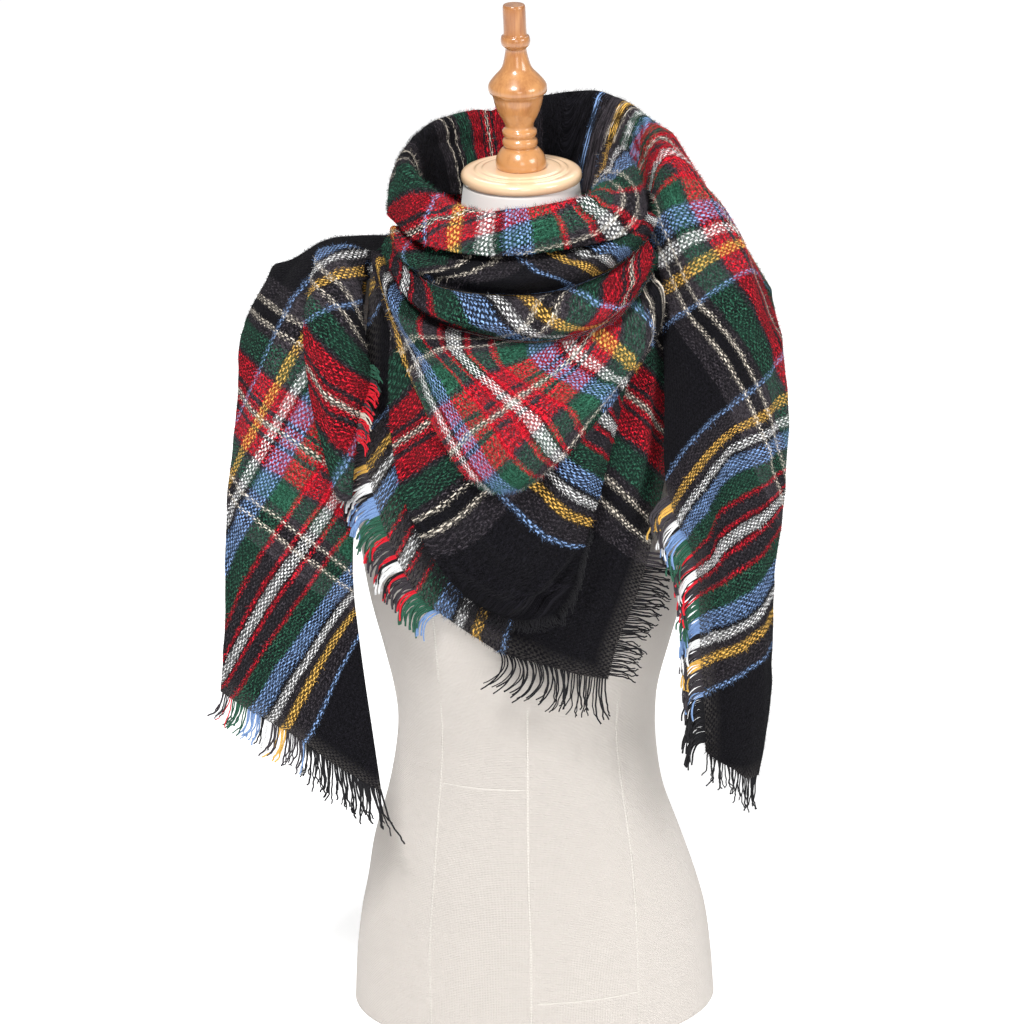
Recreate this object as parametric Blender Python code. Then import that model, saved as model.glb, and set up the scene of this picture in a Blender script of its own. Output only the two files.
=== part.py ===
"""A tartan blanket scarf wound once round a limbless dress form.

The scarf is one square cloth folded on its diagonal. Its folded edge lies in hanging rolls round the
neck, its corner hangs in front as a bib of three layers, and its two ends cross behind the neck and
hang over the shoulders. Each stretch that shows is a wall of cloth, worked out from a short table of
sections. A fringe is a narrow strip along a stretch's edge with its strands fused to it.

Lengths in the tables are in millimetres. Seen from the front, x runs to the right, y to the back and
z up from the form's flat base, whose centre is the origin. Left and right are those of this view.
"""
import math
from collections import namedtuple

import bpy
import numpy as np

MM = 0.001

# Driving sizes of the cloth, in millimetres.
WALL = 2.6          # thickness of the brushed cloth
SEAM = 0.36         # gap between two stretches that meet edge to edge
FRINGE_GAP = 0.6    # gap between a cloth's frayed edge and the strip of its fringe
NORMAL_BLURS = 2    # rounds of averaging of the directions that the wall's inside lies in
STRIP_DEPTH = 3.0   # depth of the strip that a fringe is rooted in
STRAND_SHARE = 0.5  # share of the edge that the strands' roots take up
STRAND_TAPER = 0.6  # width of a strand's end over that of its root

# Driving sizes of the form, in millimetres.
REST = 0.3          # gap under a piece that rests on another
NECK_RADIUS = 49.5
NECK_TOP = 774.0
DISC_RADIUS = 52.0
DISC_TOP = 786.0
FORM_SEGMENTS = 40
TURNED_SEGMENTS = 20
FINIAL_LEAN = -0.028  # the finial stands slightly askew

# The form's level sections: height, half width, half depth, and the centre's shift to x and y.
Level = namedtuple("Level", "height half_width half_depth shift_x shift_y")
FORM_LEVELS = (
    Level(0, 164, 118, 0, 0),
    Level(45, 161, 116, 0, 0),
    Level(85, 156, 112, 0, 0),
    Level(120, 148, 107, -1, 0),
    Level(160, 138, 100, -4, 0),
    Level(205, 124, 91, -5, 0),
    Level(245, 117, 85, -4, 0),
    Level(278, 115, 83, -3, 0),
    Level(310, 118, 86, -3, -2),
    Level(350, 127, 92, -2, -5),
    Level(395, 138, 98, -1, -8),
    Level(435, 145, 104, 0, -10),
    Level(475, 149, 104, 0, -9),
    Level(525, 153, 97, 0, -3),
    Level(580, 158, 89, 0, 3),
    Level(630, 162, 83, 0, 6),
    Level(656, 158, 78, 0, 8),
    Level(676, 142, 71, 0, 9),
    Level(692, 112, 64, 0, 8),
    Level(706, 82, 59, 0, 6),
    Level(720, 62, 55, 0, 3),
    Level(742, 54, 52, 0, 1),
    Level(NECK_TOP, NECK_RADIUS, NECK_RADIUS, 0, 0),
)

# Turned profiles: height and radius, from the bottom up.
Turn = namedtuple("Turn", "height radius")
DISC_PROFILE = (
    Turn(NECK_TOP + REST, 49.0),
    Turn(775.4, 51.2),
    Turn(778.4, DISC_RADIUS),
    Turn(781.6, 51.4),
    Turn(783.6, 49.2),
    Turn(784.4, 45.5),
    Turn(784.2, 41.0),
    Turn(785.4, 38.6),
    Turn(785.2, 34.5),
    Turn(DISC_TOP, 32.0),
    Turn(DISC_TOP, 24.0),
)
FINIAL_PROFILE = (
    Turn(DISC_TOP + REST, 21.2),
    Turn(790.0, 21.8),
    Turn(796.5, 20.4),
    Turn(802.5, 16.2),
    Turn(804.0, 13.4),
    Turn(806.5, 14.9),
    Turn(810.0, 15.0),
    Turn(813.0, 13.2),
    Turn(815.5, 14.6),
    Turn(819.0, 14.7),
    Turn(822.0, 12.2),
    Turn(827.0, 13.6),
    Turn(834.0, 17.2),
    Turn(842.0, 20.2),
    Turn(850.5, 22.3),
    Turn(853.0, 24.8),
    Turn(857.5, 25.3),
    Turn(861.5, 23.6),
    Turn(867.0, 19.0),
    Turn(873.0, 13.6),
    Turn(880.0, 11.0),
    Turn(890.0, 9.2),
    Turn(893.5, 11.8),
    Turn(897.5, 12.7),
    Turn(901.5, 11.8),
    Turn(904.0, 9.9),
    Turn(926.0, 9.7),
    Turn(928.6, 7.6),
)

# Cloth sections. A row is one section from one edge of the stretch to the other, at five places.
LAST_PLACE = 4
Row = namedtuple("Row", "first second middle fourth last")

# The wound end: from its start inside the right of the neck, round the front as the top roll, up
# behind the neck as the collar and down over the right shoulder. Each section runs from the edge
# next to the neck, over the crest, to the outer edge.
WOUND_END = (
    Row((66, 50, 762), (68, 45, 782), (79, 40, 793), (92, 34, 786), (97, 30, 768)),
    Row((62, 2, 756), (66, -2, 778), (80, -6, 787), (96, -12, 780), (104, -18, 764)),
    Row((48, -42, 748), (53, -48, 770), (66, -58, 777), (81, -73, 768), (88, -80, 750)),
    Row((-4, -66, 738), (-4, -70, 762), (-4, -82, 769), (-6, -99, 759), (-8, -105, 741)),
    Row((-56, -44, 742), (-60, -49, 766), (-68, -60, 775), (-77, -76, 764), (-80, -84, 744)),
    Row((-84, -2, 750), (-89, -4, 776), (-98, -8, 786), (-107, -14, 774), (-111, -18, 748)),
    Row((-80, 40, 750), (-84, 44, 784), (-92, 48, 797), (-104, 54, 780), (-112, 58, 732)),
    Row((-46, 70, 742), (-50, 82, 788), (-58, 96, 806), (-70, 114, 776), (-82, 118, 694)),
    Row((8, 82, 736), (8, 96, 792), (10, 113, 815), (13, 132, 776), (16, 130, 668)),
    Row((56, 74, 740), (60, 88, 796), (68, 103, 821), (84, 122, 780), (100, 122, 664)),
    Row((98, 48, 750), (103, 54, 792), (112, 61, 808), (134, 74, 776), (160, 82, 672)),
    Row((112, 6, 758), (119, 8, 780), (132, 12, 789), (158, 26, 763), (188, 42, 680)),
    Row((118, -36, 742), (130, -44, 756), (149, -45, 759), (175, -26, 744), (208, 8, 676)),
    Row((127, -78, 700), (142, -92, 709), (163, -92, 715), (192, -68, 704), (217, -14, 656)),
    Row((125, -100, 652), (145, -112, 661), (172, -111, 665), (203, -87, 658), (222, -38, 638)),
    Row((118, -112, 596), (146, -121, 603), (176, -114, 603), (206, -92, 597), (225, -50, 589)),
    Row((118, -118, 548), (146, -121, 555), (171, -104, 556), (205, -92, 549), (223, -54, 541)),
    Row((126, -117, 509), (146, -116, 514), (162, -100, 513), (202, -92, 505), (221, -56, 499)),
    Row((141, -111, 472), (151, -108, 474), (162, -99, 475), (200, -92, 466), (218, -58, 460)),
    Row((147, -104, 428), (159, -104, 429), (172, -102, 427), (197, -92, 421), (215, -59, 415)),
    Row((148, -100, 378), (160, -102, 376), (175, -101, 373), (196, -90, 368), (213, -60, 365)),
    Row((152, -96, 320), (163, -98, 316), (176, -97, 312), (193, -88, 308), (208, -62, 305)),
    Row((154, -92, 278), (164, -94, 270), (177, -92, 261), (190, -84, 248), (200, -66, 243)),
)

# The front fall: the second roll, the third roll and the top flap of the bib. Each section is a fold
# line from left to right.
FRONT_FALL = (
    Row((-96, -12, 751), (-64, -64, 751), (-6, -91, 748), (58, -66, 756), (90, -14, 764)),
    Row((-101, -19, 742), (-70, -78, 735), (-7, -98, 732), (62, -77, 743), (96, -22, 757)),
    Row((-111, -27, 742), (-91, -97, 730), (0, -134, 728), (78, -110, 744), (114, -54, 755)),
    Row((-114, -38, 736), (-81, -108, 716), (2, -130, 710), (66, -116, 722), (107, -74, 740)),
    Row((-119, -47, 733), (-82, -130, 704), (4, -157, 696), (74, -138, 708), (114, -84, 730)),
    Row((-121, -59, 725), (-84, -119, 690), (0, -150, 673), (72, -132, 684), (110, -87, 714)),
    Row((-128, -64, 732), (-91, -132, 684), (0, -164, 660), (80, -142, 670), (117, -90, 704)),
    Row((-123, -88, 708), (-76, -144, 660), (0, -173, 644), (82, -141, 652), (117, -98, 682)),
    Row((-107, -116, 666), (-62, -159, 634), (-3, -177, 625), (62, -159, 634), (104, -114, 658)),
    Row((-88, -138, 626), (-50, -165, 609), (-8, -178, 602), (38, -166, 608), (75, -140, 623)),
    Row((-70, -149, 592), (-42, -166, 581), (-11, -173, 577), (22, -166, 581), (48, -151, 592)),
    Row((-54, -153, 566), (-34, -161, 559), (-14, -164, 557), (6, -160, 560), (24, -153, 569)),
    Row((-40, -152, 553), (-30, -154, 549), (-19, -155, 548), (-10, -154.1, 549), (-3, -152, 551)),
)

# The bib's middle layer, with its stripes on both sides of the black centre.
BIB_MIDDLE = (
    Row((-112, -90, 682), (-70, -120, 672), (0, -138, 668), (66, -120, 672), (106, -82, 682)),
    Row((-116, -110, 622), (-72, -134, 622), (-5, -149, 624), (46, -140, 624), (84, -120, 624)),
    Row((-114, -114, 582), (-68, -138, 582), (-8, -150, 585), (40, -145, 588), (76, -130, 592)),
    Row((-108, -120, 546), (-62, -141, 544), (-14, -150, 546), (30, -148, 550), (66, -138, 556)),
    Row((-98, -125, 512), (-58, -144, 508), (-20, -152, 509), (20, -150, 513), (56, -141, 518)),
    Row((-82, -124, 480), (-48, -138, 474), (-18, -144, 472), (14, -142, 475), (45, -135, 481)),
    Row((-58, -122, 446), (-36, -132, 442), (-12, -136, 440), (14, -135, 443), (38, -129, 450)),
    Row((-34, -121, 427), (-20, -126, 422), (-5, -128, 420), (10, -128, 421), (24, -125, 424)),
)

# The bib's lowest layer, from under the rolls to the square corner.
BIB_LOWER = (
    Row((-129, -42, 714), (-82, -86, 704), (-5, -112, 698), (70, -92, 704), (114, -50, 714)),
    Row((-134, -71, 660), (-86, -100, 652), (-6, -128, 650), (70, -112, 652), (120, -78, 658)),
    Row((-139, -86, 603), (-92, -106, 603), (-9, -134, 608), (68, -124, 606), (117, -92, 604)),
    Row((-136, -96, 548), (-92, -110, 551), (-10, -135, 556), (64, -128, 552), (113, -100, 544)),
    Row((-120, -102, 488), (-80, -111, 492), (-14, -127, 496), (60, -121, 490), (107, -104, 483)),
    Row((-96, -101, 436), (-62, -108.6, 434), (-10, -117.8, 436), (46, -115.6, 434), (92, -105, 430)),
    Row((-64, -104, 409), (-34, -110, 404), (4, -114, 399), (42, -112, 396), (77, -106, 393)),
    Row((-26, -108, 382), (-5, -110, 376), (18, -111, 369), (42, -109, 361), (67, -105, 354)),
)

# The left end: from behind the neck, over the shoulder and down. Sections run from the outer edge.
TAIL_LEFT = (
    Row((72, 97, 700), (72, 96, 712), (71, 93, 724), (69, 87, 736), (66, 81, 746)),
    Row((0, 96, 652), (0, 100, 674), (0, 100, 697), (1, 97, 718), (2, 90, 738)),
    Row((-78, 83.2, 622), (-74, 93, 650), (-69, 97, 680), (-63, 93, 706), (-57, 84, 724)),
    Row((-152, 68, 616), (-142, 78, 650), (-124, 78, 688), (-104, 71, 708), (-88, 60, 712)),
    Row((-212, 46, 632), (-202, 42, 672), (-176, 34, 706), (-148, 27, 720), (-120, 22, 708)),
    Row((-234, 0, 656), (-220, -10, 688), (-190, -20, 712), (-160, -26, 719), (-133, -28, 706)),
    Row((-243, -42, 640), (-222, -66, 664), (-192, -82, 682), (-162, -80, 684), (-138, -56, 672)),
    Row((-248, -55, 596), (-222, -82, 608), (-192, -94, 618), (-164, -88, 618), (-142, -70, 610)),
    Row((-256, -60, 520), (-230, -84, 524), (-198, -95, 528), (-170, -90, 530), (-147, -76, 530)),
    Row((-263, -62, 440), (-236, -84, 443), (-206, -95, 446), (-178, -94, 450), (-152, -85, 452)),
    Row((-267, -64, 375), (-240, -84, 372), (-209, -95, 370), (-178, -96, 372), (-147, -90, 378)),
    Row((-270, -65, 332), (-238, -84, 318), (-205, -94, 300), (-170, -96, 272), (-133, -92, 246)),
)

# The rounded fold that lies on the left end.
LOBE = (
    Row((-176, -20, 720.5), (-166, -24, 724.5), (-154, -27, 728), (-142, -28, 727), (-132, -26, 723)),
    Row((-182, -75, 704), (-174, -90, 714), (-159, -98, 719), (-146, -94, 713), (-137, -80, 703)),
    Row((-187, -100, 672), (-176, -116, 677), (-160, -122, 679), (-145, -116, 673), (-135, -98, 665)),
    Row((-182, -105, 615), (-171, -120, 621), (-157, -125, 626), (-144, -120, 630), (-132, -106, 632)),
    Row((-173, -106, 572), (-165, -116, 578), (-156, -120, 584), (-149, -117, 590), (-143, -110, 594)),
    Row((-161, -104, 527), (-159, -108, 526), (-156, -110, 526), (-153, -109, 526), (-151, -106, 527)),
)

# The stretches: the table that each is cut from, its first and last row there, and its cells along
# and across.
Stretch = namedtuple("Stretch", "table first_row last_row cells_along cells_across")
STRETCHES = {
    "cowl_roll_top": Stretch(WOUND_END, 0, 6, 20, 10),
    "collar_back": Stretch(WOUND_END, 6, 11, 15, 10),
    "tail_right": Stretch(WOUND_END, 11, 22, 22, 10),
    "cowl_roll_middle": Stretch(FRONT_FALL, 0, 3, 6, 16),
    "cowl_roll_low": Stretch(FRONT_FALL, 3, 5, 4, 16),
    "bib_upper": Stretch(FRONT_FALL, 5, 12, 14, 16),
    "bib_middle": Stretch(BIB_MIDDLE, 0, 7, 12, 12),
    "bib_lower": Stretch(BIB_LOWER, 0, 7, 14, 12),
    "tail_left": Stretch(TAIL_LEFT, 0, 11, 24, 10),
    "tail_left_lobe": Stretch(LOBE, 0, 5, 10, 8),
}

# Fringes: the piece that each hangs on, which edge of it, where along the edge it starts and stops
# (0 to 1), its strands, their lengths at both ends and the directions in which they hang there.
Fringe = namedtuple("Fringe", "piece edge start stop strands lengths start_aim stop_aim")
FRINGES = {
    "fringe_tail_left": Fringe(
        "tail_left", "bottom", 0.02, 0.99, 28, (26, 44), (-0.5, -0.1, -0.9), (0.16, -0.1, -1.0)
    ),
    "fringe_lobe": Fringe(
        "tail_left_lobe", "last", 0.52, 0.84, 5, (13, 16), (0.8, 0.0, -0.6), (0.7, -0.1, -0.7)
    ),
    "fringe_bib_left": Fringe(
        "bib_lower", "first", 0.43, 0.84, 26, (34, 40), (-0.85, -0.12, -0.62), (-0.72, -0.1, -0.72)
    ),
    "fringe_corner_bottom": Fringe(
        "bib_lower", "bottom", 0.03, 0.97, 20, (38, 42), (-0.35, -0.05, -0.95), (-0.1, -0.05, -1.0)
    ),
    "fringe_corner_right": Fringe(
        "bib_lower", "last", 0.60, 0.98, 22, (34, 24), (0.93, 0.2, -0.35), (0.98, 0.1, -0.25)
    ),
    "fringe_tail_right_side": Fringe(
        "tail_right", "first", 0.50, 0.97, 28, (32, 30), (-0.66, -0.3, -0.7), (-0.8, -0.25, -0.6)
    ),
    "fringe_tail_right_tip": Fringe(
        "tail_right", "bottom", 0.04, 0.96, 11, (26, 34), (0.1, -0.05, -1.0), (-0.1, -0.05, -1.0)
    ),
}


def through(points, places):
    """Points read along the first axis at places from 0 to the last index, on Catmull-Rom curves."""
    last = len(points) - 1
    places = np.clip(places, 0.0, last)
    start = np.minimum(places.astype(int), last - 1)
    t = (places - start).reshape((-1,) + (1,) * (points.ndim - 1))
    before, here = points[np.maximum(start - 1, 0)], points[start]
    after, beyond = points[start + 1], points[np.minimum(start + 2, last)]
    return 0.5 * (
        2.0 * here
        + (after - before) * t
        + (2.0 * before - 5.0 * here + 4.0 * after - beyond) * t**2
        + (3.0 * here - before - 3.0 * after + beyond) * t**3
    )


def smooth_sheet(rows, places, cells_across):
    """Grid of points on the smooth surface through a table's rows, read at places along the rows."""
    table = np.array([list(row) for row in rows], float)
    down = through(table, np.asarray(places))
    across = through(down.transpose(1, 0, 2), np.linspace(0, LAST_PLACE, cells_across + 1))
    return across.transpose(1, 0, 2)


def unit(vectors):
    """Vectors scaled to length one."""
    return vectors / np.maximum(np.linalg.norm(vectors, axis=-1, keepdims=True), 1e-9)


def blurred(grid):
    """A grid's values averaged with their neighbours along both directions."""
    for _ in range(NORMAL_BLURS):
        for axis in (0, 1):
            before = np.concatenate([grid.take([0], axis), np.delete(grid, -1, axis)], axis)
            after = np.concatenate([np.delete(grid, 0, axis), grid.take([-1], axis)], axis)
            grid = (before + 2.0 * grid + after) / 4.0
    return grid


def outward_normals(grid):
    """Unit normals of a grid, turned so that on the whole they point up and away from the form."""
    normals = unit(blurred(unit(np.cross(np.gradient(grid, axis=1), np.gradient(grid, axis=0)))))
    away = grid * np.array([1.0, 1.0, 0.0]) + np.array([0.0, 0.0, NECK_RADIUS])
    return normals if (normals * away).sum() > 0 else -normals


def stretches_of(table):
    """The stretches cut from one table, each as its grid of points and their normals.

    The whole sheet is worked out first, so that neighbours agree at their seam. Each then draws its
    first and last row of points back by half a seam."""
    cut = {name: row for name, row in STRETCHES.items() if row.table is table}
    places = np.unique(
        np.concatenate([np.linspace(c.first_row, c.last_row, c.cells_along + 1) for c in cut.values()])
    )
    points = smooth_sheet(table, places, next(iter(cut.values())).cells_across)
    normals = outward_normals(points)
    lead = unit(np.gradient(points, axis=0))
    made, start = {}, 0
    for name, stretch in cut.items():
        end = start + stretch.cells_along
        rows = slice(start, end + 1)
        grid = points[rows].copy()
        grid[0] += lead[start] * SEAM * 0.5
        grid[-1] -= lead[end] * SEAM * 0.5
        made[name] = (grid, normals[rows])
        start = end
    return made


def material(name, colour, roughness):
    """A Principled material with one colour."""
    made = bpy.data.materials.new(name)
    made.use_nodes = True
    shader = made.node_tree.nodes["Principled BSDF"]
    shader.inputs["Base Color"].default_value = (*colour, 1.0)
    shader.inputs["Roughness"].default_value = roughness
    shader.inputs["Metallic"].default_value = 0.0
    made.diffuse_color = (*colour, 1.0)
    return made


def signed_volume(points, faces):
    """Volume inside the faces, negative where they point inwards."""
    fans = [(face[0], face[k], face[k + 1]) for face in faces for k in range(1, len(face) - 1)]
    a, b, c = points[np.array(fans)].transpose(1, 0, 2)
    return float((a * np.cross(b, c)).sum()) / 6.0


def add_piece(name, points, faces, finish):
    """One named object from points in millimetres and a closed set of faces, turned outwards."""
    if signed_volume(np.asarray(points), faces) < 0.0:
        faces = [face[::-1] for face in faces]
    mesh = bpy.data.meshes.new(name)
    mesh.from_pydata((np.asarray(points) * MM).tolist(), [], faces)
    mesh.validate()
    mesh.shade_smooth()
    piece = bpy.data.objects.new(name, mesh)
    piece.data.materials.append(finish)
    bpy.context.scene.collection.objects.link(piece)
    return piece


def grid_faces(down, across, start, turned):
    """Quads of a grid of down by across points whose first point has the number start."""
    faces = []
    for i in range(down - 1):
        for j in range(across - 1):
            a = start + i * across + j
            quad = (a, a + 1, a + across + 1, a + across)
            faces.append(quad[::-1] if turned else quad)
    return faces


def border(down, across):
    """Numbers of a grid's border points, once round."""
    top = [j for j in range(across)]
    far_side = [i * across + across - 1 for i in range(1, down)]
    bottom = [(down - 1) * across + j for j in range(across - 2, -1, -1)]
    near_side = [i * across for i in range(down - 2, 0, -1)]
    return top + far_side + bottom + near_side


def wall(name, grid, normals, finish):
    """A closed wall of cloth: the grid is its outside, and its inside lies a thickness behind it.

    The rim is cut into triangles along the same diagonals on both sides of a seam."""
    down, across = grid.shape[:2]
    count = down * across
    inside = grid - normals * WALL
    points = np.concatenate([grid.reshape(-1, 3), inside.reshape(-1, 3)])
    faces = grid_faces(down, across, 0, False) + grid_faces(down, across, count, True)
    rim = border(down, across)
    for a, b in zip(rim, rim[1:] + rim[:1]):
        faces += [(b, a, max(a, b) + count), (min(a, b), a + count, b + count)]
    return add_piece(name, points, faces, finish)


def edge_of(grid, normals, edge):
    """Points of one edge of a grid, with the directions that lead out of the cloth and off its face."""
    if edge == "bottom":
        return grid[-1], unit(grid[-1] - grid[-2]), normals[-1]
    if edge == "first":
        return grid[:, 0], unit(grid[:, 0] - grid[:, 1]), normals[:, 0]
    return grid[:, -1], unit(grid[:, -1] - grid[:, -2]), normals[:, -1]


def along(line, places):
    """Points read at places from 0 to 1 along a line's straight pieces, by number of pieces."""
    index = np.clip(places, 0.0, 1.0) * (len(line) - 1)
    return np.stack([np.interp(index, np.arange(len(line)), line[:, k]) for k in range(3)], 1)


def fringe(name, grid, normals, row, finish):
    """A strip along a cloth's edge with strands fused to it, each a four-sided tapering prism.

    The strip's far face is cut into cells. Every other cell is drawn out into a strand, whose middle
    leaves the strip along the edge's own direction and turns towards the row's aim."""
    line, out, facing = edge_of(grid, normals, row.edge)
    pitch = (row.stop - row.start) / (row.strands - 1 + STRAND_SHARE)
    starts = row.start + pitch * np.arange(row.strands)
    places = np.stack([starts, starts + pitch * STRAND_SHARE], 1).ravel()
    base, lead, off = along(line, places), unit(along(out, places)), unit(along(facing, places))
    near, far = base + lead * FRINGE_GAP, base + lead * (FRINGE_GAP + STRIP_DEPTH)
    rings = np.stack([near, far, far - off * WALL, near - off * WALL], 1)
    points, count = [rings.reshape(-1, 3)], len(rings) * 4
    faces = [(0, 1, 2, 3), tuple(4 * (len(rings) - 1) + k for k in (3, 2, 1, 0))]
    for i in range(len(rings) - 1):
        a, b = 4 * i, 4 * (i + 1)
        faces += [(a + 1, a, b, b + 1), (a + 3, a + 2, b + 2, b + 3), (a, a + 3, b + 3, b)]
        if i % 2:
            faces.append((a + 2, a + 1, b + 1, b + 2))
    aims = unit(np.linspace(row.start_aim, row.stop_aim, row.strands))
    lengths = np.linspace(*row.lengths, row.strands)
    for k in range(row.strands):
        root = [8 * k + 1, 8 * k + 5, 8 * k + 6, 8 * k + 2]
        corners = points[0][root]
        middle = corners.mean(axis=0)
        leave = unit(lead[2 * k] + lead[2 * k + 1])
        for share in (0.35, 1.0):
            reach = (leave * (1.0 - share) + aims[k] * (0.55 + 0.45 * share)) * share * lengths[k]
            width = 1.0 + (STRAND_TAPER - 1.0) * share
            points.append(middle + reach + (corners - middle) * width)
            ring = [count, count + 1, count + 2, count + 3]
            faces += [(root[m - 1], root[m], ring[m], ring[m - 1]) for m in range(4)]
            root, count = ring, count + 4
        faces.append(tuple(root))
    return add_piece(name, np.concatenate(points), faces, finish)


def turned_piece(name, profile, segments, lean, finish):
    """A turned solid from a profile, closed at both ends, whose axis leans by a slope towards x."""
    angles = np.arange(segments) * 2.0 * math.pi / segments
    rings = []
    for turn in profile:
        shift = lean * (turn.height - profile[0].height)
        x, y = np.cos(angles) * turn.radius, np.sin(angles) * turn.radius
        rings.append(np.stack([shift + x, y, np.full(segments, float(turn.height))], 1))
    return stacked_rings(name, rings, finish)


def stacked_rings(name, rings, finish):
    """A closed solid through rings of points, from the bottom ring up."""
    segments = len(rings[0])
    faces = [tuple(range(segments - 1, -1, -1))]
    for k in range(len(rings) - 1):
        for j in range(segments):
            a, b = k * segments + j, k * segments + (j + 1) % segments
            faces.append((a, b, b + segments, a + segments))
    top = (len(rings) - 1) * segments
    faces.append(tuple(range(top, top + segments)))
    return add_piece(name, np.concatenate(rings), faces, finish)


def form_rings(levels):
    """Elliptical rings of the dress form, one for each level."""
    angles = np.arange(FORM_SEGMENTS) * 2.0 * math.pi / FORM_SEGMENTS
    return [
        np.stack(
            [
                level.shift_x + np.cos(angles) * level.half_width,
                level.shift_y + np.sin(angles) * level.half_depth,
                np.full(FORM_SEGMENTS, float(level.height)),
            ],
            1,
        )
        for level in levels
    ]


def remove_objects():
    """Empties the scene."""
    for old in list(bpy.data.objects):
        bpy.data.objects.remove(old, do_unlink=True)


def main():
    """Builds the dress form and the scarf."""
    remove_objects()
    linen = material("linen", (0.74, 0.69, 0.61), 0.85)
    wood = material("wood", (0.78, 0.46, 0.20), 0.3)
    tartan = material("tartan_wool", (0.30, 0.05, 0.06), 0.95)
    fringe_wool = material("fringe_wool", (0.05, 0.05, 0.06), 0.95)
    stacked_rings("form_torso", form_rings(FORM_LEVELS), linen)
    turned_piece("neck_cap", DISC_PROFILE, TURNED_SEGMENTS + 8, 0.0, wood)
    turned_piece("finial", FINIAL_PROFILE, TURNED_SEGMENTS, FINIAL_LEAN, wood)
    stretches = {}
    for table in (WOUND_END, FRONT_FALL, BIB_MIDDLE, BIB_LOWER, TAIL_LEFT, LOBE):
        stretches.update(stretches_of(table))
    for name, (grid, normals) in stretches.items():
        wall(name, grid, normals, tartan)
    for name, row in FRINGES.items():
        fringe(name, *stretches[row.piece], row, fringe_wool)


main()
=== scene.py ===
"""Looks of a tartan blanket scarf wound once round a linen dress form.

The scarf is one square cloth, folded on its diagonal. Every stretch of it that shows is a thin shell:
a smooth sheet through a table of sections, with creases added along its normals. A second table says
which place of the flat cloth lies at its sections, so that one tartan runs over all of them.

Lengths in the tables are in millimetres. Seen from the front, x runs to the right, y to the back and
z up from the form's flat base, whose centre is the origin. Left and right are those of this view.
"""

import math
from collections import namedtuple

import bpy
import numpy as np
from mathutils import Matrix, Vector


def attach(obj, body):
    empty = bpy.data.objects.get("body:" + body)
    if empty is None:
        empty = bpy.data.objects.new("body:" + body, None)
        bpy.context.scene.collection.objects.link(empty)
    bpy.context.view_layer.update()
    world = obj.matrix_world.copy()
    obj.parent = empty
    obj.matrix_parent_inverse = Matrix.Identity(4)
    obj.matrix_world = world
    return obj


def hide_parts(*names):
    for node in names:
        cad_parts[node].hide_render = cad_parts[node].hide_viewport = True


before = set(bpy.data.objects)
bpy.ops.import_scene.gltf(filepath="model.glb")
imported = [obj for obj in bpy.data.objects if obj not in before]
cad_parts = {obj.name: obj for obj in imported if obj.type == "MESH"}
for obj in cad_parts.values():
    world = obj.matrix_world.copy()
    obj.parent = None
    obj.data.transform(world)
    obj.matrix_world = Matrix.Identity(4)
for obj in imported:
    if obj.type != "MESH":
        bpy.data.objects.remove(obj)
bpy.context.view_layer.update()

MM = 0.001

# Cloth.
SHELL = 2.4           # thickness of the brushed cloth
CELL = 3.2            # size of a shell's cells
PLACES = 4            # number of a section's last place, from 0
BAND_PERIOD = 324.0   # the tartan's repeat, both ways
FIRST_BAND = 214.0    # centre of the first band, from the cloth's edge
LAST_BAND = 3         # number of the last band, from 0
HALF_BAND = BAND_PERIOD / 2.0

# Form. The numbers of segments round it and round the turned wood are even.
FORM_SEGMENTS = 180
FORM_STEP = 4.0
TURNED_SEGMENTS = 96
TURN_STEPS = 4        # steps between two turns of a profile
FINIAL_LEAN = -0.028
NECK_RADIUS = 49.5
NECK_TOP = 774.0
DISC_RADIUS = 52.0
DISC_TOP = 786.0
REST = 0.3            # gap under a piece that rests on another

# Camera: what it looks at, from how far, with which lens, from how high and how it is rolled.
LOOK_AT = (-0.013, 0.0, 0.470)
DISTANCE = 4.0
LENS = 159.8
SENSOR = 36.0
ELEVATION = math.radians(21.0)
ROLL = math.radians(-1.0)

# Cloth sections: a row is one section from one edge of the stretch to the other, at five places. A lay
# says which place of the flat cloth lies at a row's first, middle and last place, each as its
# distances from the cloth's two frayed edges.
Lay = namedtuple("Lay", "row first middle last")

# The form's level sections: height, half width, half depth, and the centre's shift to x and y.
FORM_LEVELS = (
    (0, 164, 118, 0, 0),
    (45, 161, 116, 0, 0),
    (85, 156, 112, 0, 0),
    (120, 148, 107, -1, 0),
    (160, 138, 100, -4, 0),
    (205, 124, 91, -5, 0),
    (245, 117, 85, -4, 0),
    (278, 115, 83, -3, 0),
    (310, 118, 86, -3, -2),
    (350, 127, 92, -2, -5),
    (395, 138, 98, -1, -8),
    (435, 145, 104, 0, -10),
    (475, 149, 104, 0, -9),
    (525, 153, 97, 0, -3),
    (580, 158, 89, 0, 3),
    (630, 162, 83, 0, 6),
    (656, 158, 78, 0, 8),
    (676, 142, 71, 0, 9),
    (692, 112, 64, 0, 8),
    (706, 82, 59, 0, 6),
    (720, 62, 55, 0, 3),
    (742, 54, 52, 0, 1),
    (NECK_TOP, NECK_RADIUS, NECK_RADIUS, 0, 0),
)

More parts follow.
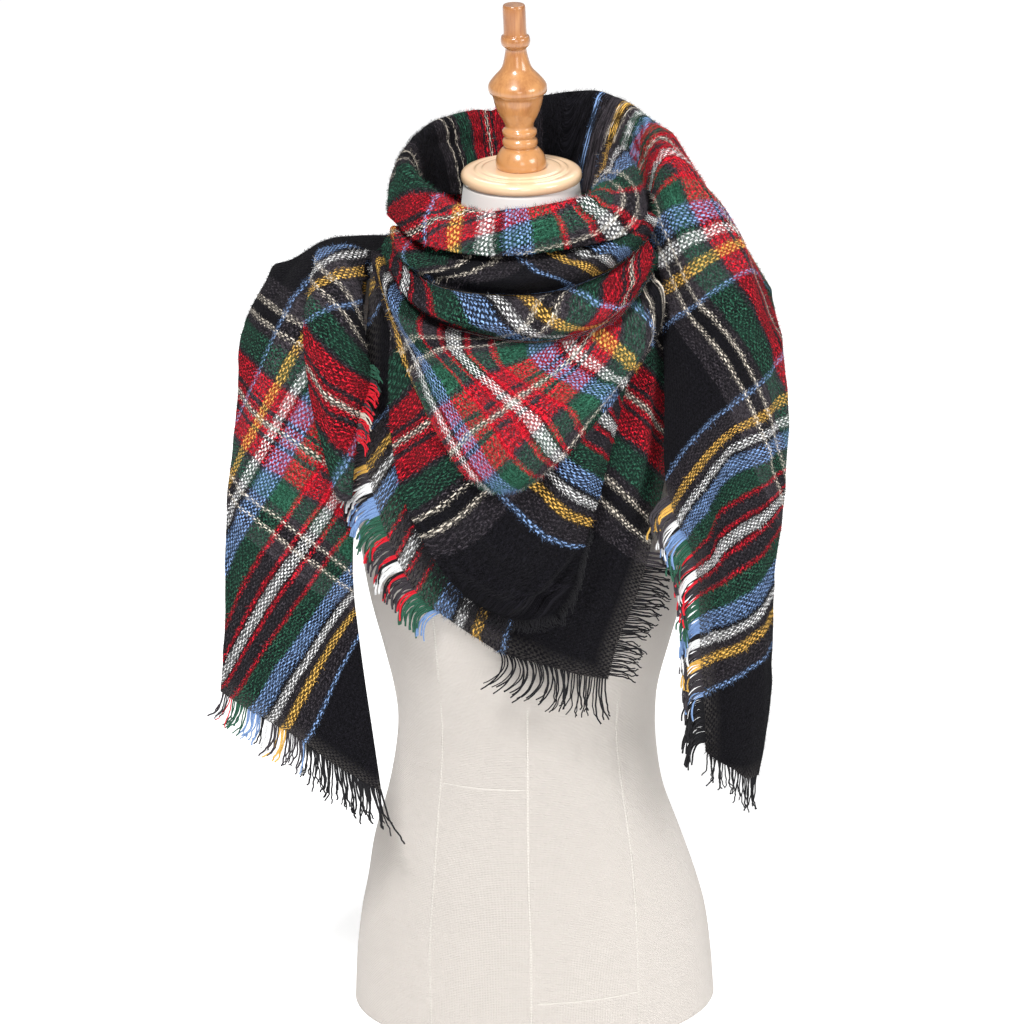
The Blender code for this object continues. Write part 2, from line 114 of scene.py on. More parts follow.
# Turned profiles: height and radius, from the bottom up.
DISC_PROFILE = (
    (NECK_TOP + REST, 49.0),
    (775.4, 51.2),
    (778.4, DISC_RADIUS),
    (781.6, 51.4),
    (783.6, 49.2),
    (784.4, 45.5),
    (784.2, 41.0),
    (785.4, 38.6),
    (785.2, 34.5),
    (DISC_TOP, 32.0),
    (DISC_TOP, 24.0),
)
FINIAL_PROFILE = (
    (DISC_TOP + REST, 21.2),
    (790.0, 21.8),
    (796.5, 20.4),
    (802.5, 16.2),
    (804.0, 13.4),
    (806.5, 14.9),
    (810.0, 15.0),
    (813.0, 13.2),
    (815.5, 14.6),
    (819.0, 14.7),
    (822.0, 12.2),
    (827.0, 13.6),
    (834.0, 17.2),
    (842.0, 20.2),
    (850.5, 22.3),
    (853.0, 24.8),
    (857.5, 25.3),
    (861.5, 23.6),
    (867.0, 19.0),
    (873.0, 13.6),
    (880.0, 11.0),
    (890.0, 9.2),
    (893.5, 11.8),
    (897.5, 12.7),
    (901.5, 11.8),
    (904.0, 9.9),
    (926.0, 9.7),
    (928.6, 7.6),
)

# The wound end: from its start inside the right of the neck, round the front as the top roll, up
# behind the neck as the collar and down over the right shoulder. Each section runs from the edge
# next to the neck, over the crest, to the outer edge.
WOUND_END = (
    ((66, 50, 762), (68, 45, 782), (79, 40, 793), (92, 34, 786), (97, 30, 768)),
    ((62, 2, 756), (66, -2, 778), (80, -6, 787), (96, -12, 780), (104, -18, 764)),
    ((48, -42, 748), (53, -48, 770), (66, -58, 777), (81, -73, 768), (88, -80, 750)),
    ((-4, -66, 738), (-4, -70, 762), (-4, -82, 769), (-6, -99, 759), (-8, -105, 741)),
    ((-56, -44, 742), (-60, -49, 766), (-68, -60, 775), (-77, -76, 764), (-80, -84, 744)),
    ((-84, -2, 750), (-89, -4, 776), (-98, -8, 786), (-107, -14, 774), (-111, -18, 748)),
    ((-80, 40, 750), (-84, 44, 784), (-92, 48, 797), (-104, 54, 780), (-112, 58, 732)),
    ((-46, 70, 742), (-50, 82, 788), (-58, 96, 806), (-70, 114, 776), (-82, 118, 694)),
    ((8, 82, 736), (8, 96, 792), (10, 113, 815), (13, 132, 776), (16, 130, 668)),
    ((56, 74, 740), (60, 88, 796), (68, 103, 821), (84, 122, 780), (100, 122, 664)),
    ((98, 48, 750), (103, 54, 792), (112, 61, 808), (134, 74, 776), (160, 82, 672)),
    ((112, 6, 758), (119, 8, 780), (132, 12, 789), (158, 26, 763), (188, 42, 680)),
    ((109, -29, 737), (130, -44, 756), (149, -45, 759), (175, -26, 744), (208, 8, 676)),
    ((119, -66, 699), (142, -92, 709), (163, -92, 715), (192, -68, 704), (217, -14, 656)),
    ((119, -92, 651), (145, -112, 661), (172, -111, 665), (203, -87, 658), (222, -38, 638)),
    ((118, -112, 596), (146, -121, 603), (176, -114, 603), (206, -92, 597), (225, -50, 589)),
    ((118, -118, 548), (146, -121, 555), (171, -104, 556), (205, -92, 549), (223, -54, 541)),
    ((126, -117, 509), (146, -116, 514), (162, -100, 513), (202, -92, 505), (221, -56, 499)),
    ((141, -111, 472), (151, -108, 474), (162, -99, 475), (200, -92, 466), (218, -58, 460)),
    ((147, -104, 428), (159, -104, 429), (172, -102, 427), (197, -92, 421), (215, -59, 415)),
    ((148, -100, 378), (160, -102, 376), (175, -101, 373), (196, -90, 368), (213, -60, 365)),
    ((152, -96, 320), (163, -98, 316), (176, -97, 312), (193, -88, 308), (208, -62, 305)),
    ((154, -92, 278), (164, -94, 270), (177, -92, 261), (190, -84, 248), (200, -66, 243)),
)

# The front fall: the second roll, the third roll and the top flap of the bib. Each section is a fold
# line from left to right.
FRONT_FALL = (
    ((-96, -12, 751), (-64, -64, 751), (-6, -91, 748), (58, -66, 756), (90, -14, 764)),
    ((-101, -19, 742), (-70, -78, 735), (-7, -98, 732), (62, -77, 743), (96, -22, 757)),
    ((-111, -27, 742), (-91, -97, 730), (0, -134, 728), (78, -110, 744), (114, -54, 755)),
    ((-113, -36, 738), (-80, -102, 718), (2, -122, 712), (65, -108, 723), (106, -71, 741)),
    ((-119, -47, 733), (-82, -130, 704), (4, -157, 696), (74, -138, 708), (114, -84, 730)),
    ((-120, -57, 726), (-83, -112, 692), (0, -142, 677), (71, -125, 686), (109, -84, 715)),
    ((-128, -64, 732), (-91, -132, 684), (0, -164, 660), (80, -142, 670), (117, -90, 704)),
    ((-123, -88, 708), (-76, -144, 660), (0, -173, 644), (82, -141, 652), (117, -98, 682)),
    ((-107, -116, 666), (-62, -159, 634), (-3, -177, 625), (62, -159, 634), (104, -114, 658)),
    ((-88, -138, 626), (-50, -165, 609), (-8, -178, 602), (38, -166, 608), (75, -140, 623)),
    ((-70, -149, 592), (-42, -166, 581), (-11, -173, 577), (22, -166, 581), (48, -151, 592)),
    ((-54, -153, 566), (-34, -161, 559), (-14, -164, 557), (6, -160, 560), (24, -153, 569)),
    ((-40, -152, 553), (-30, -154, 549), (-19, -155, 548), (-10, -154.1, 549), (-3, -152, 551)),
)

# The bib's middle layer, with its stripes on both sides of the black centre.
BIB_MIDDLE = (
    ((-112, -88, 682), (-70, -113, 672), (0, -131, 668), (66, -113, 672), (106, -78, 682)),
    ((-116, -110, 622), (-72, -134, 622), (-5, -149, 624), (50, -144, 624), (84, -116, 626)),
    ((-114, -114, 582), (-68, -138, 582), (-8, -150, 585), (46, -150, 588), (76, -121, 594)),
    ((-108, -120, 546), (-62, -141, 544), (-14, -150, 546), (37, -153, 550), (67, -128, 558)),
    ((-98, -125, 512), (-58, -144, 508), (-20, -152, 509), (26, -153, 513), (57, -133, 520)),
    ((-82, -124, 480), (-48, -138, 474), (-18, -144, 472), (14, -142, 475), (45, -135, 481)),
    ((-58, -122, 446), (-36, -132, 442), (-12, -136, 440), (14, -135, 443), (38, -129, 450)),
    ((-34, -121, 427), (-20, -126, 422), (-5, -128, 420), (10, -128, 421), (24, -125, 424)),
)

# The bib's lowest layer, from under the rolls to the square corner.
BIB_LOWER = (
    ((-129, -42, 714), (-82, -86, 704), (-5, -112, 698), (70, -92, 704), (120, -34, 712)),
    ((-134, -71, 660), (-86, -100, 652), (-6, -128, 650), (74, -111, 652), (131, -60, 656)),
    ((-139, -86, 603), (-92, -106, 603), (-9, -134, 608), (72, -122, 606), (129, -72, 604)),
    ((-136, -96, 548), (-92, -110, 551), (-10, -135, 556), (66, -127, 552), (121, -86, 548)),
    ((-120, -102, 488), (-80, -111, 492), (-14, -127, 496), (60, -121, 490), (107, -104, 483)),
    ((-96, -101, 436), (-62, -108.6, 434), (-10, -117.8, 436), (46, -115.6, 434), (92, -105, 430)),
    ((-64, -104, 409), (-34, -110, 404), (4, -114, 399), (42, -112, 396), (77, -106, 393)),
    ((-26, -108, 382), (-5, -110, 376), (18, -111, 369), (42, -109, 361), (67, -105, 354)),
)

# The left end: from behind the neck, over the shoulder and down. Sections run from the outer edge.
TAIL_LEFT = (
    ((72, 97, 700), (72, 96, 712), (71, 93, 724), (69, 87, 736), (66, 81, 746)),
    ((0, 96, 652), (0, 100, 674), (0, 100, 697), (1, 97, 718), (2, 90, 738)),
    ((-78, 83.2, 622), (-74, 93, 650), (-69, 97, 680), (-63, 93, 706), (-57, 84, 724)),
    ((-152, 68, 616), (-142, 78, 650), (-124, 78, 688), (-104, 71, 708), (-88, 60, 712)),
    ((-212, 46, 632), (-202, 42, 672), (-176, 34, 706), (-148, 27, 720), (-120, 22, 708)),
    ((-234, 0, 656), (-220, -10, 688), (-190, -20, 712), (-160, -26, 719), (-133, -28, 706)),
    ((-243, -42, 640), (-222, -66, 664), (-192, -82, 682), (-162, -80, 684), (-138, -56, 672)),
    ((-248, -55, 596), (-222, -82, 608), (-192, -94, 618), (-164, -88, 618), (-142, -70, 610)),
    ((-256, -60, 520), (-230, -84, 524), (-198, -95, 528), (-170, -90, 530), (-147, -76, 530)),
    ((-263, -62, 440), (-236, -84, 443), (-206, -95, 446), (-178, -94, 450), (-152, -85, 452)),
    ((-267, -64, 375), (-240, -84, 372), (-209, -95, 370), (-178, -96, 372), (-147, -90, 378)),
    ((-270, -65, 332), (-238, -84, 318), (-205, -94, 300), (-170, -96, 272), (-133, -92, 246)),
)

# The rounded fold that lies on the left end.
LOBE = (
    ((-176, -20, 720.5), (-166, -24, 724.5), (-154, -27, 728), (-142, -28, 727), (-132, -26, 723)),
    ((-182, -75, 704), (-174, -90, 714), (-159, -98, 719), (-146, -94, 713), (-137, -80, 703)),
    ((-187, -100, 672), (-176, -116, 677), (-160, -122, 679), (-145, -116, 673), (-135, -98, 665)),
    ((-182, -105, 615), (-171, -120, 621), (-157, -125, 626), (-144, -120, 630), (-132, -106, 632)),
    ((-173, -106, 572), (-165, -116, 578), (-156, -120, 584), (-149, -117, 590), (-143, -110, 594)),
    ((-161, -104, 527), (-159, -108, 526), (-156, -110, 526), (-153, -109, 526), (-151, -106, 527)),
)

# Which place of the flat cloth lies at some rows of each cloth's sections.
WOUND_LAYS = (
    Lay(0, (388, 318), (447, 325), (497, 335)),
    Lay(1, (414, 285), (474, 300), (519, 320)),
    Lay(2, (509, 228), (522, 260), (532, 302)),
    Lay(2.4, (544, 215), (548, 245), (554, 290)),
    Lay(3, (592, 198), (596, 232), (600, 280)),
    Lay(3.4, (610, 188), (614, 220), (617, 262)),
    Lay(3.8, (629, 176), (634, 205), (638, 242)),
    Lay(4.2, (652, 160), (658, 188), (664, 222)),
    Lay(5, (670, 130), (692, 158), (716, 192)),
    Lay(5.5, (674, 108), (704, 136), (736, 168)),
    Lay(6, (676, 86), (708, 110), (746, 145)),
    Lay(6.3, (672, 88), (706, 104), (755, 130)),
    Lay(6.7, (664, 118), (702, 132), (770, 150)),
    Lay(7.3, (655, 190), (697, 203), (790, 215)),
    Lay(7.7, (652, 248), (695, 258), (795, 268)),
    Lay(8.1, (650, 300), (694, 315), (785, 335)),
    Lay(8.6, (660, 330), (690, 368), (750, 430)),
    Lay(9.2, (640, 295), (656, 345), (690, 430)),
    Lay(10, (590, 215), (612, 285), (650, 370)),
    Lay(10.5, (560, 180), (576, 262), (600, 345)),
    Lay(11, (525, 150), (538, 240), (555, 320)),
    Lay(12, (485, 130), (478, 217), (465, 282)),
    Lay(13, (450, 115), (420, 195), (375, 250)),
    Lay(15, (370, 45), (320, 125), (305, 180)),
    Lay(17, (295, 0), (235, 80), (210, 135)),
    Lay(19, (185, 0), (160, 50), (140, 85)),
    Lay(22, (35, 0), (5, 35), (0, 75)),
)
FRONT_LAYS = (
    Lay(0, (746, 215), (641, 300), (526, 345)),
    Lay(1.5, (766, 205), (666, 315), (526, 375)),
    Lay(2.98, (781, 215), (701, 345), (566, 415)),
    Lay(3.02, (505, 431), (620, 331), (700, 201)),
    Lay(4, (490, 421), (605, 311), (690, 171)),
    Lay(4.98, (490, 411), (590, 291), (655, 141)),
    Lay(5.02, (635, 400), (500, 285), (405, 130)),
    Lay(7, (645, 345), (525, 222), (402, 132)),
    Lay(9, (625, 261), (555, 186), (475, 136)),
    Lay(12, (625, 161), (605, 156), (590, 141)),
)
BIB_MIDDLE_LAYS = (
    Lay(0, (700, 290), (570, 210), (428, 120)),
    Lay(1, (700, 258), (600, 180), (496, 100)),
    Lay(2, (700, 221), (620, 150), (531, 80)),
    Lay(3, (700, 184), (650, 120), (574, 60)),
    Lay(4, (700, 147), (670, 100), (618, 50)),
    Lay(5, (700, 114), (685, 85), (665, 50)),
    Lay(6, (700, 90), (700, 60), (700, 50)),
    Lay(7, (700, 62), (700, 52), (700, 50)),
)
BIB_LOWER_LAYS = (
    Lay(0, (470, 0), (235, 180), (0, 365)),
    Lay(1, (415, 0), (210, 155), (0, 312)),
    Lay(2, (359, 0), (180, 128), (0, 256)),
    Lay(3, (304, 0), (150, 98), (0, 196)),
    Lay(4, (242, 0), (120, 68), (0, 135)),
    Lay(5, (185, 0), (92, 40), (0, 80)),
    Lay(6, (143, 0), (72, 20), (0, 40)),
    Lay(7, (95, 0), (50, 0), (0, 0)),
)
TAIL_LEFT_LAYS = (
    Lay(0, (475, 610), (435, 610), (385, 600)),
    Lay(3, (505, 365), (465, 405), (420, 445)),
    Lay(5, (410, 280), (360, 340), (325, 390)),
    Lay(7, (340, 205), (290, 245), (245, 280)),
    Lay(9, (265, 65), (210, 100), (160, 150)),
    Lay(11, (200, 0), (100, 0), (0, 5)),
)
LOBE_LAYS = (
    Lay(0, (262, 309), (272, 332), (283, 354)),
    Lay(1, (300, 273), (310, 295), (322, 318)),
    Lay(2, (338, 235), (350, 262), (362, 287)),
    Lay(3, (375, 192), (388, 220), (398, 247)),
    Lay(4, (405, 167), (412, 186), (418, 205)),
    Lay(5, (430, 143), (434, 148), (438, 152)),
)

# Creases: a ridge, or a valley where its height is negative, from one row and place to another. Its
# line bows out sideways in its middle.
Crease = namedtuple("Crease", "row place to_row to_place width height bow")
WOUND_CREASES = (
    Crease(0.4, 1.2, 2.6, 2.8, 7, -4.3, 2),
    Crease(1.8, 2.2, 3.6, 1.4, 6, 3.2, -2),
    Crease(2.8, 3.0, 4.6, 2.0, 8, -4.6, 3),
    Crease(3.8, 1.0, 5.6, 2.4, 6, 3.8, 2),
    Crease(4.6, 3.2, 6.4, 2.6, 9, -4.6, -3),
    Crease(6.2, 1.2, 7.6, 0.6, 8, -5.1, 3),
    Crease(6.6, 2.6, 7.8, 3.4, 10, 5.5, 4),
    Crease(7.4, 0.5, 7.7, 3.2, 9, -4.6, 2),
    Crease(8.2, 3.6, 8.6, 2.2, 9, 5.5, -3),
    Crease(8.8, 0.6, 9.3, 1.9, 8, -4.6, 2),
    Crease(9.2, 3.7, 9.7, 2.4, 11, -6.1, 3),
    Crease(10.0, 0.8, 10.6, 2.6, 8, 4.6, -3),
    Crease(10.4, 3.8, 11.4, 2.8, 10, -5.8, 4),
    Crease(11.2, 1.0, 13.0, 2.0, 9, -5.2, 4),
    Crease(11.8, 3.2, 14.2, 2.6, 10, 2.9, -4),
    Crease(12.6, 0.6, 15.4, 1.2, 8, -2.5, 3),
    Crease(13.6, 3.4, 17.0, 3.1, 11, -3.0, 4),
    Crease(15.2, 1.6, 19.0, 1.9, 9, 2.3, -4),
    Crease(16.2, 0.8, 20.4, 1.1, 7, -2.0, 3),
    Crease(17.6, 2.8, 21.4, 2.4, 10, -2.6, 3),
    Crease(19.2, 3.3, 21.8, 3.5, 8, 1.9, 2),
)
FRONT_CREASES = (
    Crease(0.8, 0.2, 1.9, 1.8, 6, -3.8, 2),
    Crease(1.7, 1.1, 1.4, 2.9, 7, 3.2, 2),
    Crease(1.2, 2.3, 2.3, 3.8, 7, -4.3, -3),
    Crease(3.0, 0.1, 3.0, 2.1, 5, -3.5, 2),
    Crease(3.0, 1.9, 3.0, 3.9, 5, -3.5, -2),
    Crease(4.3, 0.3, 3.8, 1.9, 5, 2.9, 2),
    Crease(3.7, 2.2, 4.4, 3.7, 6, -3.2, 2),
    Crease(5.0, 0.1, 5.0, 2.1, 5, -3.5, 2),
    Crease(5.0, 1.9, 5.0, 3.9, 5, -3.5, -2),
    Crease(6.2, 0.5, 8.8, 1.3, 9, 2.6, 5),
    Crease(6.4, 3.5, 8.6, 2.9, 10, 2.9, -5),
    Crease(6.9, 1.7, 10.2, 2.1, 12, 2.0, 4),
    Crease(8.3, 3.0, 11.0, 2.4, 9, -1.7, 3),
    Crease(8.2, 0.9, 10.8, 1.7, 8, -1.7, -3),
)
BIB_MIDDLE_CREASES = (
    Crease(0.3, 3.3, 4.4, 3.2, 14, 8.0, 2),
    Crease(0.3, 2.5, 4.0, 2.5, 9, -7.0, 0),
    Crease(0.4, 0.7, 3.8, 0.8, 13, 8.0, -2),
    Crease(0.4, 1.5, 3.2, 1.5, 7, -4.3, 0),
    Crease(4.6, 3.7, 6.6, 1.1, 5, 5.0, 3),
    Crease(4.9, 3.9, 6.9, 1.6, 5, -3.6, 3),
    Crease(2.2, 0.3, 4.8, 1.0, 8, -3.8, 4),
    Crease(3.0, 1.2, 5.0, 2.6, 9, 3.5, -4),
    Crease(2.4, 3.6, 4.9, 2.9, 8, -4.1, 4),
    Crease(5.0, 0.4, 5.9, 2.2, 7, 3.8, 3),
    Crease(5.4, 2.1, 6.4, 3.6, 7, -3.8, -3),
)
BIB_LOWER_CREASES = (
    Crease(0.4, 3.5, 4.4, 3.4, 13, 10.0, 2),
    Crease(0.4, 2.9, 4.2, 2.95, 9, -8.0, 0),
    Crease(1.0, 0.3, 3.6, 0.5, 8, -3.5, 3),
    Crease(2.4, 3.6, 4.9, 3.1, 9, -4.1, 4),
    Crease(3.4, 3.2, 6.4, 2.7, 9, 3.2, -4),
    Crease(4.6, 0.4, 6.3, 1.3, 8, 3.5, 3),
    Crease(5.2, 1.4, 6.8, 2.2, 8, -3.2, 3),
)
TAIL_LEFT_CREASES = (
    Crease(0.4, 3.4, 2.2, 2.4, 9, -4.9, 3),
    Crease(1.0, 1.0, 2.8, 1.6, 10, 4.6, -3),
    Crease(2.4, 3.3, 4.2, 2.6, 9, -4.9, 4),
    Crease(3.4, 0.8, 5.2, 1.4, 9, 4.9, 3),
    Crease(4.4, 2.0, 6.2, 1.1, 8, -4.6, -4),
    Crease(5.4, 3.4, 7.4, 2.9, 8, 2.5, 3),
    Crease(6.2, 1.7, 8.6, 1.4, 10, -3.1, 5),
    Crease(6.8, 0.6, 9.6, 0.7, 8, 2.6, -3),
    Crease(7.6, 3.2, 10.4, 3.0, 9, -2.8, 4),
    Crease(8.4, 2.1, 10.8, 2.2, 11, 2.9, -4),
    Crease(9.4, 1.1, 11.0, 1.2, 8, -2.6, 3),
    Crease(9.8, 3.5, 10.9, 3.4, 7, 2.1, 2),
)
LOBE_CREASES = (
    Crease(0.6, 1.2, 2.4, 1.6, 7, -3.5, 3),
    Crease(1.8, 2.9, 3.8, 2.4, 6, -3.5, -3),
    Crease(2.6, 1.0, 4.4, 1.8, 6, 3.2, 2),
)

# The cloths: the shell's name, its nodes in the model, its tables, how strongly it ripples, the seed
# of its ripples and loose fibres, its flat size in metres, how it is held and what carries it.
Cloth = namedtuple("Cloth", "name nodes table lays creases ripple seed flat held rests_on")
CLOTHS = (
    Cloth(
        "scarf_wound", ("cowl_roll_top", "collar_back", "tail_right"), WOUND_END, WOUND_LAYS,
        WOUND_CREASES, 0.9, 11, (0.137, 1.26), "draped", ("form_cover",),
    ),
    Cloth(
        "scarf_front", ("cowl_roll_middle", "cowl_roll_low", "bib_upper"), FRONT_FALL, FRONT_LAYS,
        FRONT_CREASES, 0.6, 23, (0.25, 0.25), "draped", ("form_cover",),
    ),
    Cloth(
        "scarf_bib_middle", ("bib_middle",), BIB_MIDDLE, BIB_MIDDLE_LAYS,
        BIB_MIDDLE_CREASES, 0.6, 37, (0.165, 0.27), "hung", ("form_cover",),
    ),
    Cloth(
        "scarf_bib_lower", ("bib_lower",), BIB_LOWER, BIB_LOWER_LAYS,
        BIB_LOWER_CREASES, 0.6, 41, (0.225, 0.36), "hung", ("form_cover",),
    ),
    Cloth(
        "scarf_tail_left", ("tail_left",), TAIL_LEFT, TAIL_LEFT_LAYS,
        TAIL_LEFT_CREASES, 0.8, 53, (0.125, 0.77), "draped", ("form_cover",),
    ),
    Cloth(
        "scarf_lobe", ("tail_left_lobe",), LOBE, LOBE_LAYS,
        LOBE_CREASES, 0.6, 61, (0.06, 0.26), "draped", ("scarf_tail_left",),
    ),
)

# Fringes: the model's node, the cloth, its edge, where on that edge it starts and stops (0 to 1), the
# lengths of its yarns at both ends, the directions they hang in there, the seed, whether the loose
# yarns are the warp, their pitch and size and whether the node is hidden for them.
Fringe = namedtuple(
    "Fringe", "node cloth edge start stop lengths start_aim stop_aim seed warp pitch size hides"
)
FRINGES = (
    Fringe("fringe_tail_left", "scarf_tail_left", "bottom", 0.02, 0.99, (26, 44),
           (-0.5, -0.1, -0.9), (0.16, -0.1, -1.0), 3, True, 1.8, 0.8, True),
    Fringe("tassel_tail_left", "scarf_tail_left", "bottom", 0.975, 1.0, (58, 66),
           (0.3, -0.1, -1.0), (0.42, -0.1, -0.9), 29, True, 1.0, 0.8, False),
    Fringe("fringe_lobe", "scarf_lobe", "last", 0.52, 0.84, (13, 16),
           (0.8, 0.0, -0.6), (0.7, -0.1, -0.7), 5, False, 1.3, 0.8, True),
    Fringe("fringe_bib_left", "scarf_bib_lower", "first", 0.37, 0.8, (34, 30),
           (-0.8, -0.1, -0.6), (-0.6, -0.1, -0.8), 7, True, 1.25, 1.05, True),
    Fringe("fringe_corner_bottom", "scarf_bib_lower", "bottom", 0.03, 0.97, (38, 42),
           (-0.45, -0.05, -0.9), (0.05, -0.05, -1.0), 9, True, 2.2, 0.75, True),
    Fringe("fringe_corner_right", "scarf_bib_lower", "last", 0.60, 0.98, (34, 26),
           (0.93, 0.2, -0.35), (0.98, 0.1, -0.25), 13, False, 1.9, 0.75, True),
    Fringe("fringe_tail_right_side", "scarf_wound", "first", 0.75, 0.985, (34, 30),
           (-0.5, -0.3, -0.85), (-0.6, -0.25, -0.75), 15, True, 1.4, 0.95, True),
    Fringe("fringe_tail_right_tip", "scarf_wound", "bottom", 0.04, 0.96, (26, 34),
           (0.1, -0.05, -1.0), (-0.1, -0.05, -1.0), 17, False, 2.3, 0.75, True),
    Fringe("ruffle_bottom", "scarf_bib_middle", "bottom", 0.0, 1.0, (15, 13),
           (-0.6, -0.45, -0.65), (0.4, -0.45, -0.8), 19, False, 0.7, 0.4, False),
    Fringe("ruffle_left", "scarf_bib_middle", "first", 0.6, 1.0, (8, 15),
           (-0.85, -0.45, -0.3), (-0.6, -0.45, -0.65), 21, True, 0.7, 0.4, False),
    Fringe("ruffle_right", "scarf_bib_middle", "last", 0.62, 1.0, (7, 13),
           (0.6, -0.5, -0.5), (0.5, -0.45, -0.75), 27, False, 0.8, 0.4, False),
)
STRAND_STEPS = 13
ROOT_DEPTH = 1.5
BUNCH = 4             # yarns that lean together
BUNCH_PULL = 0.9      # how far each is drawn towards its bunch
STRAIGHT = 0.55       # how strongly a yarn takes its aim at its root, where 1 is fully
# How the yarns curl: along the edge or off the cloth, how far, and their fewest and most waves.
Curl = namedtuple("Curl", "off_cloth size fewest most")
CURLS = (Curl(False, 1.6, 0.6, 1.6), Curl(True, 1.2, 0.6, 1.8), Curl(False, 0.5, 3.0, 4.6))

NAP_DENSITY = 1.6     # loose fibres for each cell of a shell
NAP_SHORTEST = 2.0
NAP_LENGTH = 6.0
NAP_WIDTH = 0.22
NAP_BEND = 0.55       # how far up a fibre it bends
NAP_ROOT = 0.3        # how deep its root lies

# Ripples of hanging cloth: the lengths of the waves, and their height and shift for each millimetre.
RIPPLES = (210.0, 120.0, 74.0, 46.0, 31.0)
RIPPLE_HEIGHT = 0.0065
RIPPLE_SHIFT = 0.004

# Seams of the form: the heights and the places across at which each runs, in front (-1) or behind (1).
Line = namedtuple("Line", "side heights places")
PRINCESS_HEIGHTS = (1, 90, 165, 275, 350, 435, 520, 600, 680, 700, 712)
FORM_SEAMS = tuple(
    Line(side, PRINCESS_HEIGHTS, places)
    for side in (-1, 1)
    for places in (
        (-93, -93, -87, -78, -80, -84, -82, -78, -64, -48, -42),
        (93, 92, 88, 76, 80, 84, 82, 78, 64, 48, 42),
        (-4, -3, -4, -3, -2, -1, 0, 0, 0, 0, 0),
    )
) + (
    Line(-1, (240, 240, 240), (-78, -42, -6)),
    Line(-1, (45, 45, 45), (2, 47, 92)),
)
SEAM_WIDTH = 2.2
SEAM_PROUD = 0.16
SEAM_STEPS = 90
SEAM_WELT = ((-1.0, -0.4), (-0.6, 0.55), (0.0, 1.0), (0.6, 0.55), (1.0, -0.4))

# The weave: the pitch of the yarns, and the length of a float and the gap after it, in yarns. A float
# reaches these shares of a yarn's width and of that length to both sides of its middle, and its ends
# taper faster than its sides.
YARN = 2.0
FLOAT_YARNS = 2.8
FLOAT_SIDE, FLOAT_END, END_TAPER = 0.32, 0.29, 2.4
OPEN_REACH = 60.0     # how fast the open weave closes with the distance from a frayed edge
DARK_ORDER = 0.618    # spreads the darker yarns unevenly
DARK_FROM = 0.7       # the share of the yarns that stay as light as their stripe
DARKENED = 0.5

# The tartan: stripes from the centre of a band outwards, in millimetres, for both directions.
Stripe = namedtuple("Stripe", "width colour")
WARP_SETT = (
    Stripe(4.6, "white"), Stripe(2.6, "black"), Stripe(3.8, "red"), Stripe(14, "grey"),
    Stripe(4, "red"), Stripe(20, "green"), Stripe(17, "blue"), Stripe(4, "black"), Stripe(8, "white"),
    Stripe(9, "grey"), Stripe(8, "yellow"), Stripe(19, "grey"), Stripe(4, "blue"), Stripe(44, "black"),
)
WEFT_SETT = (
    Stripe(2, "cream"), Stripe(5, "red"), Stripe(5, "grey"), Stripe(19, "red"), Stripe(4, "grey"),
    Stripe(23, "green"), Stripe(7.5, "grey"), Stripe(4, "cream"), Stripe(11, "black"),
    Stripe(4, "cream"), Stripe(19, "grey"), Stripe(58, "black"),
)
YARNS = {             # the yarns' colours, in sRGB steps
    "black": (14, 13, 17),
    "grey": (62, 57, 62),
    "red": (226, 28, 48),
    "green": (46, 98, 76),
    "blue": (128, 160, 208),
    "yellow": (232, 184, 90),
    "white": (245, 245, 245),
    "cream": (225, 215, 200),
}

# The form's cover and the wood, in metres: where the plainer neck starts, the pitch of the linen's
# threads and of the stitches of its seams, and how many radians of turning marks run in a metre.
NECK_START = 0.735
LINEN_PITCH = 0.00155
STITCH_PITCH = 0.0026
TURNING_MARKS = 5200.0

# Studio lights: place, size and power.
LIGHTS = {
    "key_top": ((-0.7, -2.0, 3.6), 0.7, 130.0),
    "front": ((0.5, -3.7, 1.9), 1.2, 16.0),
    "fill_right": ((2.8, -1.6, 2.2), 1.4, 46.0),
    "back_top": ((0.2, 2.2, 3.0), 1.8, 26.0),
}
SKY_STRENGTH = 0.32
FLOOR_GLOW = 0.5
FLOOR_REACH = 30.0


def through(points, places):
    """Points read along the first axis at places from 0 to the last index, on Catmull-Rom curves."""
    last = len(points) - 1
    places = np.clip(places, 0.0, last)
    start = np.minimum(places.astype(int), last - 1)
    t = (places - start).reshape((-1,) + (1,) * (points.ndim - 1))
    before, here = points[np.maximum(start - 1, 0)], points[start]
    after, beyond = points[start + 1], points[np.minimum(start + 2, last)]
    return 0.5 * (
        2.0 * here
        + (after - before) * t
        + (2.0 * before - 5.0 * here + 4.0 * after - beyond) * t**2
        + (3.0 * here - before - 3.0 * after + beyond) * t**3
    )


def steadily(rows, values, places):
    """Values read smoothly at places between rows, never past the two rows beside them: cubic pieces
    whose slope at a row is the harmonic mean of the slopes beside it, or level at a turn."""
    gap = np.diff(rows).reshape(-1, 1, 1)
    slope = np.diff(values, axis=0) / gap
    both = slope[:-1] * slope[1:]
    mean = np.where(both > 0.0, 2.0 * both / np.where(both > 0.0, slope[:-1] + slope[1:], 1.0), 0.0)
    lean = np.concatenate([slope[:1], mean, slope[-1:]])
    k = np.clip(np.searchsorted(rows, places, "right") - 1, 0, len(rows) - 2)
    t = (places.reshape(-1, 1, 1) - rows[k].reshape(-1, 1, 1)) / gap[k]
    return (
        values[k] * (1.0 + 2.0 * t) * (1.0 - t) ** 2
        + lean[k] * gap[k] * t * (1.0 - t) ** 2
        + values[k + 1] * t**2 * (3.0 - 2.0 * t)
        - lean[k + 1] * gap[k] * t**2 * (1.0 - t)
    )


def unit(vectors):
    """Vectors scaled to length one."""
    return vectors / np.maximum(np.linalg.norm(vectors, axis=-1, keepdims=True), 1e-9)


